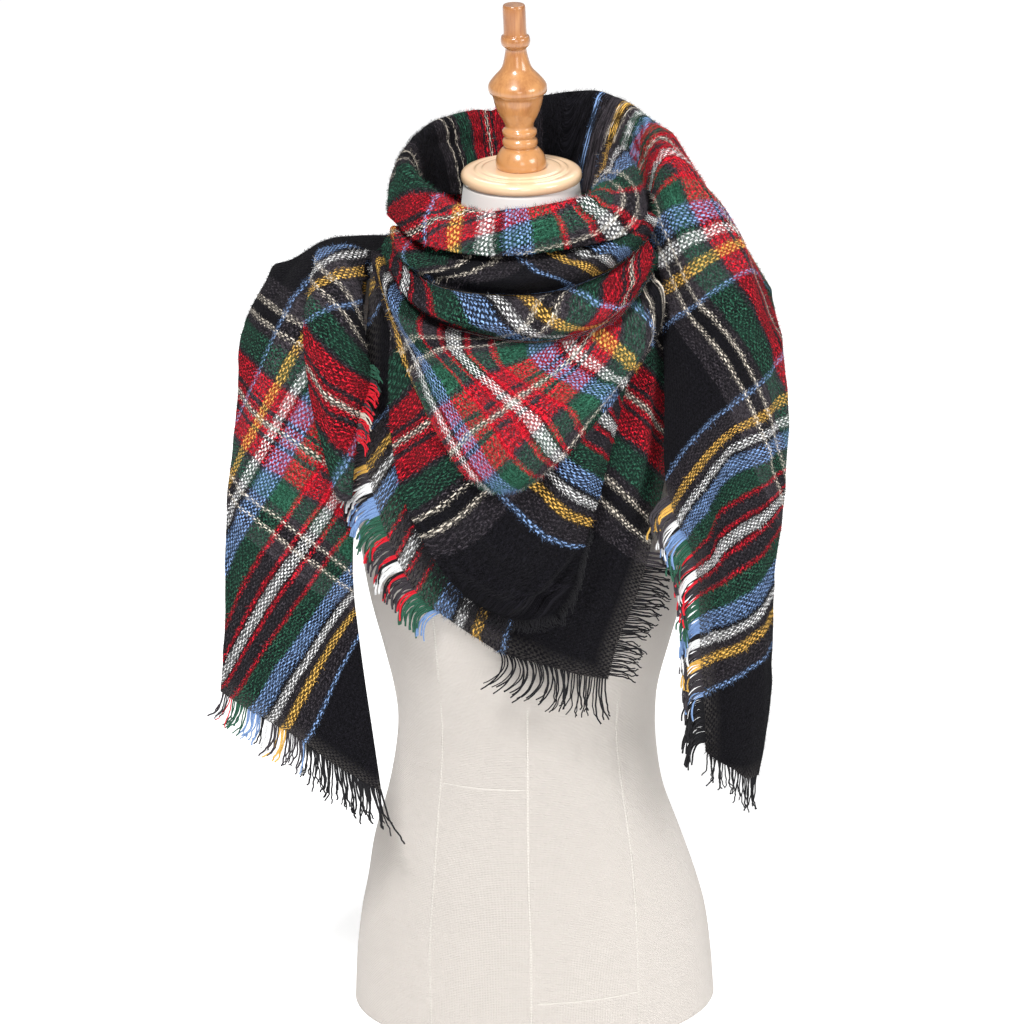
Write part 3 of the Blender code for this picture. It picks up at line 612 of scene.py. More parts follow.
def arc(points, axis):
    """Length run along one axis of a grid of points, from 0 at its start."""
    steps = np.linalg.norm(np.diff(points, axis=axis), axis=-1)
    return np.insert(np.cumsum(steps, axis=axis), 0, 0.0, axis=axis)


def blurred(grid, rounds):
    """A grid's values averaged with their neighbours along both directions."""
    for _ in range(rounds):
        for axis in (0, 1):
            before = np.concatenate([grid.take([0], axis), np.delete(grid, -1, axis)], axis)
            after = np.concatenate([np.delete(grid, 0, axis), grid.take([-1], axis)], axis)
            grid = (before + 2.0 * grid + after) / 4.0
    return grid


def normals_of(grid):
    """Unit normals of a grid, turned so that on the whole they point up and away from the form."""
    normals = unit(blurred(unit(np.cross(np.gradient(grid, axis=1), np.gradient(grid, axis=0))), 3))
    away = grid * np.array([1.0, 1.0, 0.0]) + np.array([0.0, 0.0, NECK_RADIUS])
    return normals if (normals * away).sum() > 0 else -normals


def cloth_places(lays, places, share):
    """Flat cloth places: read steadily down the rows, and through the three given ones across a row."""
    rows = np.array([lay.row for lay in lays], float)
    laid = np.array([[lay.first, lay.middle, lay.last] for lay in lays], float)
    table = steadily(rows, laid, places)
    first, middle, last = (table[:, k, None] for k in range(3))
    t = share[..., None]
    return first * (1 - t) * (1 - 2 * t) + middle * 4 * t * (1 - t) + last * t * (2 * t - 1)


def ripples(down, across, seed):
    """Gentle unevenness of hanging cloth, in millimetres: a few seeded waves over the arc lengths."""
    draw = np.random.default_rng(seed)
    total = np.zeros_like(down)
    for wave in RIPPLES:
        angle, phase = draw.uniform(0.0, math.pi, 2)
        run = (down * math.cos(angle) + across * math.sin(angle)) * 2.0 * math.pi / wave
        total += math.sin(phase) * RIPPLE_SHIFT * wave
        total += wave * RIPPLE_HEIGHT * np.sin(run + phase * 7.0)
    return total


def creased(points, normals, down, across, places, stretch):
    """Moves points along their normals by the stretch's creases and ripples.

    A crease is a ridge or valley with a rounded section round the bowed line between two places; it
    dies away towards its ends."""
    height = ripples(down, across, stretch.seed) * stretch.ripple
    span = np.linspace(0, PLACES, points.shape[1])
    for crease in stretch.creases:
        ends = []
        for row, place in ((crease.row, crease.place), (crease.to_row, crease.to_place)):
            k = int(np.abs(places - row).argmin())
            j = int(np.abs(span - place).argmin())
            ends.append((down[k, j], across[k, j]))
        (d0, a0), (d1, a1) = ends
        length = max(math.hypot(d1 - d0, a1 - a0), 1.0)
        run = ((down - d0) * (d1 - d0) + (across - a0) * (a1 - a0)) / length**2
        off = ((down - d0) * (a1 - a0) - (across - a0) * (d1 - d0)) / length
        fade = np.clip(np.minimum(run, 1.0 - run) * 3.0 + 0.25, 0.0, 1.0)
        bend = off + crease.bow * np.sin(np.clip(run, 0.0, 1.0) * math.pi)
        height += crease.height * fade**1.5 * np.exp(-((bend / crease.width) ** 2))
    return points + normals * height[..., None]


def cloth_grid(stretch):
    """The outside of a stretch: its points, normals and flat cloth places."""
    table = np.array(stretch.table, float)
    last = len(table) - 1
    rough = through(table, np.linspace(0, last, 60))
    cells_down = int(arc(rough, 0)[-1].max() / CELL)
    cells_across = int(arc(rough, 1)[:, -1].max() / CELL)
    places = np.linspace(0, last, cells_down + 1)
    points = through(table, places)
    spread = np.linspace(0, PLACES, cells_across + 1)
    points = through(points.transpose(1, 0, 2), spread).transpose(1, 0, 2)
    normals = normals_of(points)
    across = arc(points, 1)
    share = across / across[:, -1:]
    middle = across.shape[1] // 2
    down = np.repeat(arc(points, 0)[:, middle, None], across.shape[1], 1)
    across = across - across[:, middle, None]
    points = creased(points, normals, down, across, places, stretch)
    flat = cloth_places(stretch.lays, places, share)
    return points, normals_of(points), flat


def make_mesh(name, points, faces, flat=None):
    """One object from points in millimetres, with the flat cloth places, in metres, as its UV map."""
    mesh = bpy.data.meshes.new(name)
    faces = np.asarray(faces, dtype=np.int32)
    count, sides = faces.shape
    mesh.vertices.add(len(points))
    mesh.vertices.foreach_set("co", (np.asarray(points) * MM).astype(np.float32).ravel())
    mesh.loops.add(count * sides)
    mesh.loops.foreach_set("vertex_index", faces.ravel())
    mesh.polygons.add(count)
    mesh.polygons.foreach_set("loop_start", np.arange(count, dtype=np.int32) * sides)
    mesh.update(calc_edges=True)
    mesh.shade_smooth()
    if flat is not None:
        layer = mesh.uv_layers.new(name="cloth")
        layer.uv.foreach_set("vector", (flat[faces.ravel()] * MM).astype(np.float32).ravel())
    mesh.validate()
    piece = bpy.data.objects.new(name, mesh)
    bpy.context.scene.collection.objects.link(piece)
    return piece


def grid_quads(down, across, start=0, wrap=False):
    """Quads of a grid of down by across points, as rows of four numbers; wrap joins the last column to
    the first."""
    numbers = np.arange(down * across, dtype=np.int32).reshape(down, across) + start
    right = np.roll(numbers, -1, axis=1) if wrap else numbers[:, 1:]
    left = numbers if wrap else numbers[:, :-1]
    return np.stack([left[:-1], right[:-1], right[1:], left[1:]], -1).reshape(-1, 4)


def shell(name, points, normals, flat):
    """A closed shell: the outside, an inside a thickness behind it, and a rounded rim between them."""
    down, across = points.shape[:2]
    count = down * across
    inside = points - normals * SHELL
    both = np.concatenate([points.reshape(-1, 3), inside.reshape(-1, 3)])
    numbers = np.arange(count).reshape(down, across)
    rim = np.concatenate([numbers[0], numbers[1:, -1], numbers[-1, -2::-1], numbers[-2:0:-1, 0]])
    lead = np.zeros((down, across, 3))
    lead[0] -= unit(points[1] - points[0])
    lead[-1] += unit(points[-1] - points[-2])
    lead[:, 0] -= unit(points[:, 1] - points[:, 0])
    lead[:, -1] += unit(points[:, -1] - points[:, -2])
    middle = (points - normals * SHELL * 0.5 + unit(lead) * SHELL * 0.4).reshape(-1, 3)[rim]
    turn = np.roll(rim, -1)
    mid = 2 * count + np.arange(len(rim))
    mid_turn = np.roll(mid, -1)
    faces = np.concatenate([
        grid_quads(down, across),
        grid_quads(down, across, count)[:, ::-1],
        np.stack([turn, rim, mid, mid_turn], 1),
        np.stack([mid_turn, mid, rim + count, turn + count], 1),
    ])
    both = np.concatenate([both, middle])
    laid = flat.reshape(-1, 2)
    laid = np.concatenate([laid, laid, laid[rim]])
    a, b, c, d = both[faces].transpose(1, 0, 2)
    volume = (a * np.cross(b, c)).sum() + (a * np.cross(c, d)).sum()
    return make_mesh(name, both, faces if volume > 0.0 else faces[:, ::-1], laid)


def edge_of(edge, points, normals, flat):
    """One edge of a stretch: its points, the directions that lead out of the cloth, its normals and its
    flat cloth places."""
    if edge != "bottom":
        points, normals, flat = (grid.transpose(1, 0, 2) for grid in (points, normals, flat))
    at, behind = (0, 3) if edge == "first" else (-1, -4)
    return points[at], unit(points[at] - points[behind]), normals[at], flat[at]


def tubes(name, paths, side, radius, flat):
    """Many tapering four-sided tubes as one mesh, closed at both ends.

    paths holds a line of points for each tube, side a direction across each, radius the size at every
    point and flat the cloth place that gives each its colour."""
    count, steps = paths.shape[:2]
    tangent = unit(np.gradient(paths, axis=1))
    across = unit(np.cross(tangent, side[:, None]))
    rise = np.cross(across, tangent)
    sides = np.arange(4)
    corner = sides * math.pi / 2.0
    ring = across[:, :, None] * np.cos(corner)[:, None] + rise[:, :, None] * np.sin(corner)[:, None]
    points = paths[:, :, None] + ring * radius[:, :, None, None]
    first = (np.arange(count) * steps * 4)[:, None]
    walls = (grid_quads(steps, 4, wrap=True)[None] + first[:, :, None]).reshape(-1, 4)
    ends = np.concatenate([first + sides[::-1], first + 4 * (steps - 1) + sides])
    faces = np.concatenate([walls[:, ::-1], ends[:, ::-1]])
    return make_mesh(name, points.reshape(-1, 3), faces, np.repeat(flat, steps * 4, axis=0))


def fringe(name, row, cloth):
    """Frayed yarns along an edge: they leave it straight, turn towards the row's aim and curl a little,
    and neighbours lean together in small bunches."""
    points, lead, facing, flat = edge_of(row.edge, *cloth)
    draw = np.random.default_rng(row.seed)
    index = np.arange(len(points))
    low, high = row.start * index[-1], row.stop * index[-1]
    length = arc(points[:, None], 0)[:, 0]
    ends = np.interp([low, high], index, length)
    count = int((ends[1] - ends[0]) / row.pitch)
    at = np.interp(np.linspace(*ends, count) + draw.normal(0.0, 0.25, count), length, index)
    read = [np.stack([np.interp(at, index, line[:, k]) for k in range(line.shape[1])], 1)
            for line in (points, lead, facing, flat)]
    root, leave, off, place = read[0], unit(read[1]), unit(read[2]), read[3]
    edge_way = unit(np.cross(leave, off))
    share = np.linspace(0.0, 1.0, count)[:, None]
    aim = unit(np.array(row.start_aim) * (1.0 - share) + np.array(row.stop_aim) * share)
    aim = unit(aim + draw.normal(0.0, 0.08, (count, 3)))
    reach = row.lengths[0] * (1.0 - share[:, 0]) + row.lengths[1] * share[:, 0]
    reach = (reach * draw.uniform(0.8, 1.06, count))[:, None, None]
    number = np.arange(count)
    bunch = number // BUNCH
    inwards = (number % BUNCH - (BUNCH - 1) / 2.0) * BUNCH_PULL
    pull = (draw.normal(0.0, 1.0, bunch[-1] + 1)[bunch] - inwards)[:, None]
    t = np.linspace(0.0, 1.0, STRAND_STEPS)[None, :, None]
    path = root[:, None] - leave[:, None] * ROOT_DEPTH - off[:, None] * SHELL * 0.5
    turned_in = aim[:, None] * (STRAIGHT + (1.0 - STRAIGHT) * t)
    path = path + (leave[:, None] * (1.0 - t) + turned_in) * t * reach
    path = path + edge_way[:, None] * pull[:, None] * t**1.5
    for curl in CURLS:
        way = off if curl.off_cloth else edge_way
        turns = draw.uniform(curl.fewest, curl.most, (count, 1, 1))
        phase = draw.uniform(0.0, 2.0 * math.pi, (count, 1, 1))
        sway = np.sin(2.0 * math.pi * turns * t + phase) - np.sin(phase)
        path = path + way[:, None] * sway * t * curl.size
    radius = np.linspace(row.size, row.size * 0.8, STRAND_STEPS)[None]
    return tubes(name, path, off, radius * draw.uniform(0.75, 1.25, (count, 1)), place)


def nap(name, points, normals, flat, seed):
    """Loose fibres that stand off the brushed cloth: flat blades of many lengths, each bent."""
    draw = np.random.default_rng(seed)
    down, across = points.shape[0] - 1, points.shape[1] - 1
    count = int(down * across * NAP_DENSITY)
    i, j = draw.uniform(0, down, count), draw.uniform(0, across, count)
    k, m = i.astype(int), j.astype(int)
    u, v = (i - k)[:, None], (j - m)[:, None]

    def read(grid):
        near = grid[k, m] * (1 - v) + grid[k, m + 1] * v
        return near * (1 - u) + (grid[k + 1, m] * (1 - v) + grid[k + 1, m + 1] * v) * u

    root, off = read(points), unit(read(normals))
    way = unit(points[k + 1, m] - points[k, m])
    turn = draw.uniform(0.0, 2.0 * math.pi, (count, 1))
    flow = way * np.cos(turn) + np.cross(off, way) * np.sin(turn)
    rise = draw.uniform(0.25, 0.9, (count, 1))
    size = draw.uniform(NAP_SHORTEST, NAP_LENGTH, (count, 1))
    middle = root + unit(flow + off * rise) * size * NAP_BEND
    end_way = unit(flow * draw.uniform(-0.2, 1.0, (count, 1)) + off * rise + way * 0.3)
    tip = middle + end_way * size * (1.0 - NAP_BEND)
    side = unit(np.cross(flow, off)) * NAP_WIDTH / 2.0
    foot = root - off * NAP_ROOT
    blades = np.stack([foot - side, foot + side, middle - side * 0.7, middle + side * 0.7, tip], 1)
    first = np.arange(count)[:, None] * 5
    faces = np.concatenate([first + np.array(part) for part in ((0, 1, 3), (0, 3, 2), (2, 3, 4))])
    return make_mesh(name, blades.reshape(-1, 3), faces, np.repeat(read(flat), 5, axis=0))


def form_section(heights):
    """The form's half width, half depth and shift at some heights, read smoothly from its levels."""
    levels = np.array(FORM_LEVELS, float)
    places = np.interp(heights, levels[:, 0], np.arange(len(levels)))
    return through(levels, places)


def turned(name, segments, height, x, y, half_width, half_depth):
    """A closed solid of elliptical rings round the centres x and y, from the bottom up. segments is
    even, because the fans at both ends take two of a ring's sides at a time."""
    angle = np.arange(segments) * 2.0 * math.pi / segments
    rings = np.stack([
        x[:, None] + np.cos(angle) * half_width[:, None],
        y[:, None] + np.sin(angle) * half_depth[:, None],
        np.repeat(height[:, None], segments, 1),
    ], -1)
    ends = np.stack([rings[0].mean(axis=0), rings[-1].mean(axis=0)])
    points = np.concatenate([rings.reshape(-1, 3), ends])
    count, top = len(points), (len(rings) - 1) * segments
    first = np.arange(0, segments, 2)
    fan = np.stack([first, first + 1, (first + 2) % segments, np.full(len(first), count - 2)], 1)
    low_fan = fan[:, [2, 1, 0, 3]]
    high_fan = fan + np.array([top, top, top, 1])
    faces = np.concatenate([grid_quads(len(rings), segments, wrap=True), low_fan, high_fan])
    return make_mesh(name, points, faces)


def form_cover():
    """The linen body, closed by a flat base and the neck's top."""
    heights = np.linspace(0.0, NECK_TOP, int(NECK_TOP / FORM_STEP) + 1)
    height, half_width, half_depth, x, y = form_section(heights).T
    return turned("form_cover", FORM_SEGMENTS, height, x, y, half_width, half_depth)


def lathe(name, profile, lean):
    """A turned piece: its profile is smoothed between the given turns, and its axis leans towards x."""
    table = np.array(profile, float)
    last = len(table) - 1
    height, radius = through(table, np.linspace(0, last, last * TURN_STEPS + 1)).T
    x = lean * (height - height[0])
    return turned(name, TURNED_SEGMENTS, height, x, np.zeros_like(x), radius, radius)


def on_form(x, height, side):
    """Points on the form's front (side -1) or back (side 1), and the directions off it."""
    section = form_section(height)
    cosine = np.clip((x - section[:, 3]) / section[:, 1], -0.999, 0.999)
    sine = side * np.sqrt(1.0 - cosine**2)
    y = section[:, 4] + sine * section[:, 2]
    off = unit(np.stack([cosine / section[:, 1], sine / section[:, 2], np.zeros(len(x))], 1))
    return np.stack([x, y, height], 1), off


def seam(line):
    """Points and faces of a raised seam along a line on the form: a low rounded welt, closed at its
    ends."""
    share = np.linspace(0.0, len(line.heights) - 1.0, SEAM_STEPS)
    x, height = through(np.array([line.places, line.heights], float).T, share).T
    middle, off = on_form(x, height, line.side)
    across = unit(np.cross(off, np.gradient(middle, axis=0))) * SEAM_WIDTH / 2
    rings = [middle + across * aside + off * SEAM_PROUD * rise for aside, rise in SEAM_WELT]
    rings = np.stack(rings, 1)
    sides = len(SEAM_WELT)
    walls = grid_quads(SEAM_STEPS, sides, wrap=True)
    fan = np.array([[0, k, k + 1] for k in range(1, sides - 1)])
    last_fan = fan + (SEAM_STEPS - 1) * sides
    faces = np.concatenate([walls[:, [0, 1, 2]], walls[:, [0, 2, 3]], fan[:, ::-1], last_fan])
    points = rings.reshape(-1, 3)
    a, b, c = points[faces].transpose(1, 0, 2)
    return points, faces if (a * np.cross(b, c)).sum() > 0.0 else faces[:, ::-1]


class Shade:
    """An output of a shader tree that sums can be done on. Values add Math nodes, and colours and
    vectors add Vector Math nodes."""

    def __init__(self, tree, socket):
        self.tree, self.socket = tree, socket
        self.wide = socket.type in {"VECTOR", "RGBA"}

    def node(self, kind, settings, inputs, output=0):
        """Adds a node: its settings first, then its inputs, given as values or as other shades."""
        made = self.tree.nodes.new(kind)
        for key, value in settings.items():
            setattr(made, key, value)
        for key, value in inputs.items():
            if isinstance(value, Shade):
                self.tree.links.new(value.socket, made.inputs[key])
            else:
                made.inputs[key].default_value = value
        return Shade(self.tree, made.outputs[output])

    def math(self, operation, *others):
        """A Math node, or a Vector Math node where this or the other side is a vector or a colour."""
        sides = [self, *others]
        wide = any(isinstance(s, tuple) or getattr(s, "wide", False) for s in sides)
        if wide:
            sides = [s if isinstance(s, (Shade, tuple)) else (s, s, s) for s in sides]
        kind = "ShaderNodeVectorMath" if wide else "ShaderNodeMath"
        return self.node(kind, {"operation": operation}, dict(enumerate(sides)))

    def __add__(self, other):
        return self.math("ADD", other)

    def __sub__(self, other):
        return self.math("SUBTRACT", other)

    def __rsub__(self, other):
        return self * -1.0 + other

    def __mul__(self, other):
        return self.math("MULTIPLY", other)

    def __truediv__(self, other):
        return self.math("DIVIDE", other)

    def __mod__(self, other):
        return self.math("FLOORED_MODULO", other)

    __radd__, __rmul__ = __add__, __mul__

    def floor(self):
        return self.math("FLOOR")

    def abs(self):
        return self.math("ABSOLUTE")

    def sin(self):
        return self.math("SINE")

    def above(self, limit):
        return self.math("GREATER_THAN", limit)

    def power(self, exponent):
        return self.math("POWER", exponent)

    def clamp(self, low, high):
        return self.math("MAXIMUM", low).math("MINIMUM", high)

    def parts(self):
        """The x, y and z values of a vector."""
        split = self.node("ShaderNodeSeparateXYZ", {}, {0: self})
        return [Shade(self.tree, socket) for socket in split.socket.node.outputs]

    def noise(self, scale, detail=2.0, rough=0.5, output=0):
        """Noise read at this vector."""
        inputs = {"Vector": self, "Scale": scale, "Detail": detail, "Roughness": rough}
        return self.node("ShaderNodeTexNoise", {}, inputs, output)

    def mixed(self, low, high):
        """low where this value is 0 and high where it is 1, for colours."""
        settings = {"data_type": "RGBA"}
        return self.node("ShaderNodeMix", settings, {0: self, 6: low, 7: high}, 2)

    def ramp(self, stops, smooth=False):
        """Colours by this value, from 0 to 1: stops are (place, colour)."""
        made = self.tree.nodes.new("ShaderNodeValToRGB")
        made.color_ramp.interpolation = "LINEAR" if smooth else "CONSTANT"
        elements = made.color_ramp.elements
        while len(elements) < len(stops):
            elements.new(1.0)
        for element, (place, colour) in zip(elements, stops):
            element.position = place
            element.color = colour
        self.tree.links.new(self.socket, made.inputs[0])
        return Shade(self.tree, made.outputs[0])


def linear(red, green, blue):
    """A colour given in sRGB steps of 0 to 255, as the renderer's linear values."""
    def one(step):
        value = step / 255.0
        return value / 12.92 if value <= 0.04045 else ((value + 0.055) / 1.055) ** 2.4
    return (one(red), one(green), one(blue), 1.0)


def new_material(name, roughness, sockets):
    """A Principled material: its tree, its shader node and constant sockets set."""
    made = bpy.data.materials.new(name)
    made.use_nodes = True
    shader = made.node_tree.nodes["Principled BSDF"]
    shader.inputs["Roughness"].default_value = roughness
    for key, value in sockets.items():
        shader.inputs[key].default_value = value
    return made, made.node_tree, shader


def object_place(tree):
    """The place in the object."""
    return Shade(tree, tree.nodes.new("ShaderNodeTexCoord").outputs["Object"])


def cloth_place(tree):
    """The place on the flat cloth, in metres."""
    made = tree.nodes.new("ShaderNodeUVMap")
    made.uv_map = "cloth"
    return Shade(tree, made.outputs["UV"])


def bump(height, distance, strength=1.0):
    """A normal from a height."""
    inputs = {"Height": height, "Distance": distance, "Strength": strength}
    return height.node("ShaderNodeBump", {}, inputs)


def finish_with(tree, shader, colour, normal=None):
    """Links what varies over the surface to the shader."""
    tree.links.new(colour.socket, shader.inputs["Base Color"])
    if normal is not None:
        tree.links.new(normal.socket, shader.inputs["Normal"])


def sett_stops(sett):
    """Colour stops for one direction of the tartan, over the half band from its centre."""
    stops, place = [], 0.0
    for stripe in sett:
        stops.append((place / HALF_BAND, linear(*YARNS[stripe.colour])))
        place += stripe.width
    return stops


def stripe_colour(distance, sett):
    """Colour of the yarns at a distance, in metres, from a frayed edge."""
    band = ((distance - FIRST_BAND * MM) / (BAND_PERIOD * MM) + 0.5).floor().clamp(0.0, LAST_BAND)
    off = (distance - FIRST_BAND * MM - band * (BAND_PERIOD * MM)).abs() / (HALF_BAND * MM)
    return off.clamp(0.0, 0.999).ramp(sett_stops(sett))


def stitches(across, along):
    """How far inside a float a place lies, in yarns and below 0 between floats. Each yarn's floats lie
    in a row, and those of the next yarn lie half a float further, as bricks do."""
    side = (across % 1.0 - 0.5).abs()
    end = ((along / FLOAT_YARNS + across.floor() * 0.5) % 1.0 - 0.5).abs()
    return (FLOAT_SIDE - side).math("MINIMUM", (FLOAT_END - end) * END_TAPER)


def around_zero(noise):
    """A colour noise as a vector that goes both ways."""
    return noise - (0.5, 0.5, 0.5)


def yarn_colours(place, stray, sett, start):
    """Colours of one direction's yarns at a place: each yarn with its own stripe's colour, the same
    with some yarns darker, and loose fibres that stray further."""
    pitch = YARN * MM
    number = (place / pitch).floor()
    own = stripe_colour((number + 0.5) * pitch + stray, sett)
    dark = ((number * DARK_ORDER + start) % 1.0).above(DARK_FROM) * DARKENED
    return own, own * (1.0 - dark), stripe_colour(place + stray * 1.5, sett)


def tartan_material():
    """The woven tartan. Each yarn's colour is the stripe at its own distance from the edge. The paler
    of the two yarns at a place floats on the other in brick order, with painted shade between the
    floats;
    the rest is brushed and mottled, with painted highlights on its pile."""
    sockets = {"Sheen Weight": 0.02, "Sheen Roughness": 0.5, "Specular IOR Level": 0.03}
    made, tree, shader = new_material("tartan_wool_woven", 0.95, sockets)
    place = cloth_place(tree)
    wander = around_zero(place.noise(560.0, 2.0, 0.6, 1)) * 0.0024
    drift = around_zero(place.noise(60.0, 2.0, 0.5, 1)) * 0.004
    stray_a, stray_b, _ = (around_zero(place.noise(1100.0, 2.0, 0.7, 1)) * 0.0085).parts()
    a, b, _ = (place + wander + drift).parts()
    warp_own, warp_colour, loose_warp = yarn_colours(a, stray_a, WARP_SETT, 0.0)
    weft_own, weft_colour, loose_weft = yarn_colours(b, stray_b, WEFT_SETT, 0.4)
    # Which yarn floats: the paler one, where its float lies, with the brushing drawn over its rim.
    warp_pale, weft_pale = warp_own.parts()[1], weft_own.parts()[1]
    pale = (warp_pale.math("MAXIMUM", weft_pale) * 4.5 - 0.5).clamp(0.0, 1.0)
    warp_over = (warp_pale - weft_pale).above(0.0)
    warp, weft = a / (YARN * MM), b / (YARN * MM)
    warp_float, weft_float = stitches(warp, weft), stitches(weft, warp)
    inside = weft_float + warp_over * (warp_float - weft_float)
    brushing = place.noise(460.0, 3.0, 0.75)
    on_top = (inside - 0.03 + (brushing - 0.5) * (3.2 - pale * 2.1)).above(0.0)
    shown = 1.0 - (warp_over - on_top).abs()
    colour = shown.mixed(weft_colour, warp_colour)
    # How light it is, in painted shade: pale floats are painted as rounded, darker at their rims and in
    # the gaps between them, and everything else is felted and mottled.
    height = (inside * 2.6 + 0.5).clamp(0.0, 1.0)
    speck = place.noise(720.0, 3.0, 0.7)
    cloud = place.noise(26.0, 3.0, 0.55)
    felted = (speck * 2.4 + place.noise(330.0, 3.0, 0.8) * 6.0 - 3.7).clamp(0.0, 1.0)
    stitched = pale * 0.75 + 0.1
    rise = height * stitched + felted * (1.0 - stitched)
    specks = (speck * (4.8 - pale * 2.4) - 1.4 + pale * 1.2).clamp(0.05, 2.6)
    light = (0.07 + rise * 1.75) * specks * (0.85 + cloud * 0.45)
    # The brushed face: painted highlights as light specks on the pile and on the float tops, and fibres
    # of both yarns that lie over the weave in patches.
    pile = place.noise(2100.0, 2.0, 0.7)
    fuzz_highlight = (pile * 4.0 - 1.8).clamp(0.0, 1.0) * 0.014 + height * speck * 0.004
    fibres = (loose_warp + loose_weft) * 0.5
    haze = (cloud * 2.2 - 0.7).clamp(0.1, 0.5) * (1.0 - pale * 0.25)
    grain = (pile * 4.2 - 1.5).clamp(0.05, 1.7)
    brushed = haze.mixed(colour * light, fibres * grain) + fuzz_highlight * (1.0, 0.97, 1.2)
    # The open weave at the frayed edges, paler between the yarns.
    near_edge = (1.0 - a.math("MINIMUM", b) * OPEN_REACH).clamp(0.0, 1.0)
    open_weave = near_edge * (0.7 - height).clamp(0.0, 0.6)
    brushed = brushed + open_weave * (0.12, 0.11, 0.1)
    relief = height * 0.8 + pile * 0.6 + speck * 0.7
    finish_with(tree, shader, brushed, bump(relief, 0.0012, 0.9))
    return made


def yarn_material(name, warp):
    """Loose yarns and fibres in the stripe colours of the place that they grow from."""
    made, tree, shader = new_material(name, 0.9, {"Sheen Weight": 0.05, "Specular IOR Level": 0.15})
    place = cloth_place(tree)
    a, b, _ = place.parts()
    colour = stripe_colour(a, WARP_SETT) if warp else stripe_colour(b, WEFT_SETT)
    spot = object_place(tree)
    twist_and_sheen = spot.noise(900.0, 2.0, 0.6)
    # Painted sheen: a faint light, following the twist noise, is added over the yarns' varying tone.
    finish_with(tree, shader, colour * (0.5 + twist_and_sheen * 0.75) + twist_and_sheen * 0.016 * (1.0, 1.0, 1.1))
    return made


def nap_material():
    """Loose fibres of both directions' yarns, by turns."""
    made, tree, shader = new_material("tartan_nap", 0.9, {"Specular IOR Level": 0.15})
    place = cloth_place(tree)
    a, b, _ = place.parts()
    pick = place.noise(3000.0, 0.0).above(0.5)
    colour = pick.mixed(stripe_colour(b, WEFT_SETT), stripe_colour(a, WARP_SETT))
    # Painted sheen: a faint bluish light is added over the fibres' colour.
    finish_with(tree, shader, colour * 0.95 + (0.005, 0.005, 0.006))
    return made


def linen_material():
    """Plain woven linen: fine threads both ways, thicker in places, in warm off-white. Its neck is
    plainer, and paler by painted light that makes up for the collar's shade."""
    made, tree, shader = new_material("linen_woven", 0.85, {"Sheen Weight": 0.15})
    spot = object_place(tree)
    x, y, z = spot.parts()
    on_neck = z.above(NECK_START)
    round_way = y.math("ARCTAN2", x) * (0.13 - on_neck * 0.08)
    uneven = spot.noise(70.0, 2.0, 0.5) * 0.0012
    level = ((z + uneven) * (2.0 * math.pi / LINEN_PITCH)).sin()
    upright = ((round_way + uneven) * (2.0 * math.pi / LINEN_PITCH)).sin()
    slub = (spot * (1.0, 1.0, 14.0)).noise(38.0, 3.0, 0.6)
    slub_up = (spot * (9.0, 9.0, 1.0)).noise(40.0, 3.0, 0.6)
    cloud = spot.noise(7.0, 3.0, 0.5)
    thread = (level + upright) * 0.02 + slub * 0.07 + slub_up * 0.05 + cloud * 0.06
    tone = thread + 0.40
    stops = [(0.0, linear(182, 174, 166)), (0.5, linear(207, 200, 193)), (1.0, linear(225, 219, 213))]
    colour = tone.ramp(stops, True)
    # Painted light: the neck is painted paler, making up for the shade under the collar.
    colour = on_neck.mixed(colour, linear(238, 235, 231))
    weave = (level * 0.5 + upright * 0.5 + slub + slub_up) * (1.0 - on_neck)
    finish_with(tree, shader, colour, bump(weave, 0.00035))
    return made


def wood_material(name, light, dark):
    """Turned and lacquered wood: fine long grain, growth lines and turning marks under a clear coat."""
    sockets = {"Coat Weight": 1.0, "Coat Roughness": 0.08, "Specular IOR Level": 0.5}
    made, tree, shader = new_material(name, 0.3, sockets)
    spot = object_place(tree)
    x, y, z = spot.parts()
    grain = (spot * (1.0, 1.0, 0.07)).noise(620.0, 4.0, 0.6)
    growth = (spot * (1.0, 1.0, 0.16) + spot.noise(18.0, 2.0, 0.5, 1) * 0.012).noise(130.0, 2.0, 0.5)
    pores = (spot * (1.0, 1.0, 0.04)).noise(1900.0, 1.0, 0.5)
    # Painted light: the wood is painted lighter towards the bottom and darker towards the top.
    tone = grain * 0.45 + growth * 0.75 - 0.12 + pores * 0.1 + (0.85 - z) * 3.0
    colour = tone.ramp([(0.15, dark), (0.62, light)], True)
    radius = (x * x + y * y).power(0.5)
    marks = ((radius + z) * TURNING_MARKS).sin() * 0.5 + 0.5
    finish_with(tree, shader, colour, bump(marks * 0.3 + grain * 0.5, 0.00012, 0.5))
    return made


def thread_material():
    """Seam thread and pressed linen, slightly darker than the body."""
    made, tree, shader = new_material("seam_linen", 0.85, {})
    spot = object_place(tree)
    _, _, z = spot.parts()
    stitch = (z * (2.0 * math.pi / STITCH_PITCH)).sin() * 0.5 + 0.5
    tone = stitch * 0.4 + spot.noise(300.0, 2.0, 0.5) * 0.6
    colour = tone.ramp([(0.2, linear(192, 186, 178)), (0.8, linear(212, 207, 200))], True)
    finish_with(tree, shader, colour, bump(tone, 0.0005))
    return made


def joined(parts):
    """Points and faces of several meshes as one."""
    points = np.concatenate([part[0] for part in parts])
    starts = np.cumsum([0] + [len(part[0]) for part in parts[:-1]])
    return points, np.concatenate([part[1] + start for part, start in zip(parts, starts)])


def settle(piece, material, slot, *nodes):
    """Gives a piece its material, lets it ride on the body and hides the nodes it stands
    for. Its slot is not used."""
    piece.data.materials.append(material)
    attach(piece, "root")
    if nodes:
        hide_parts(*nodes)


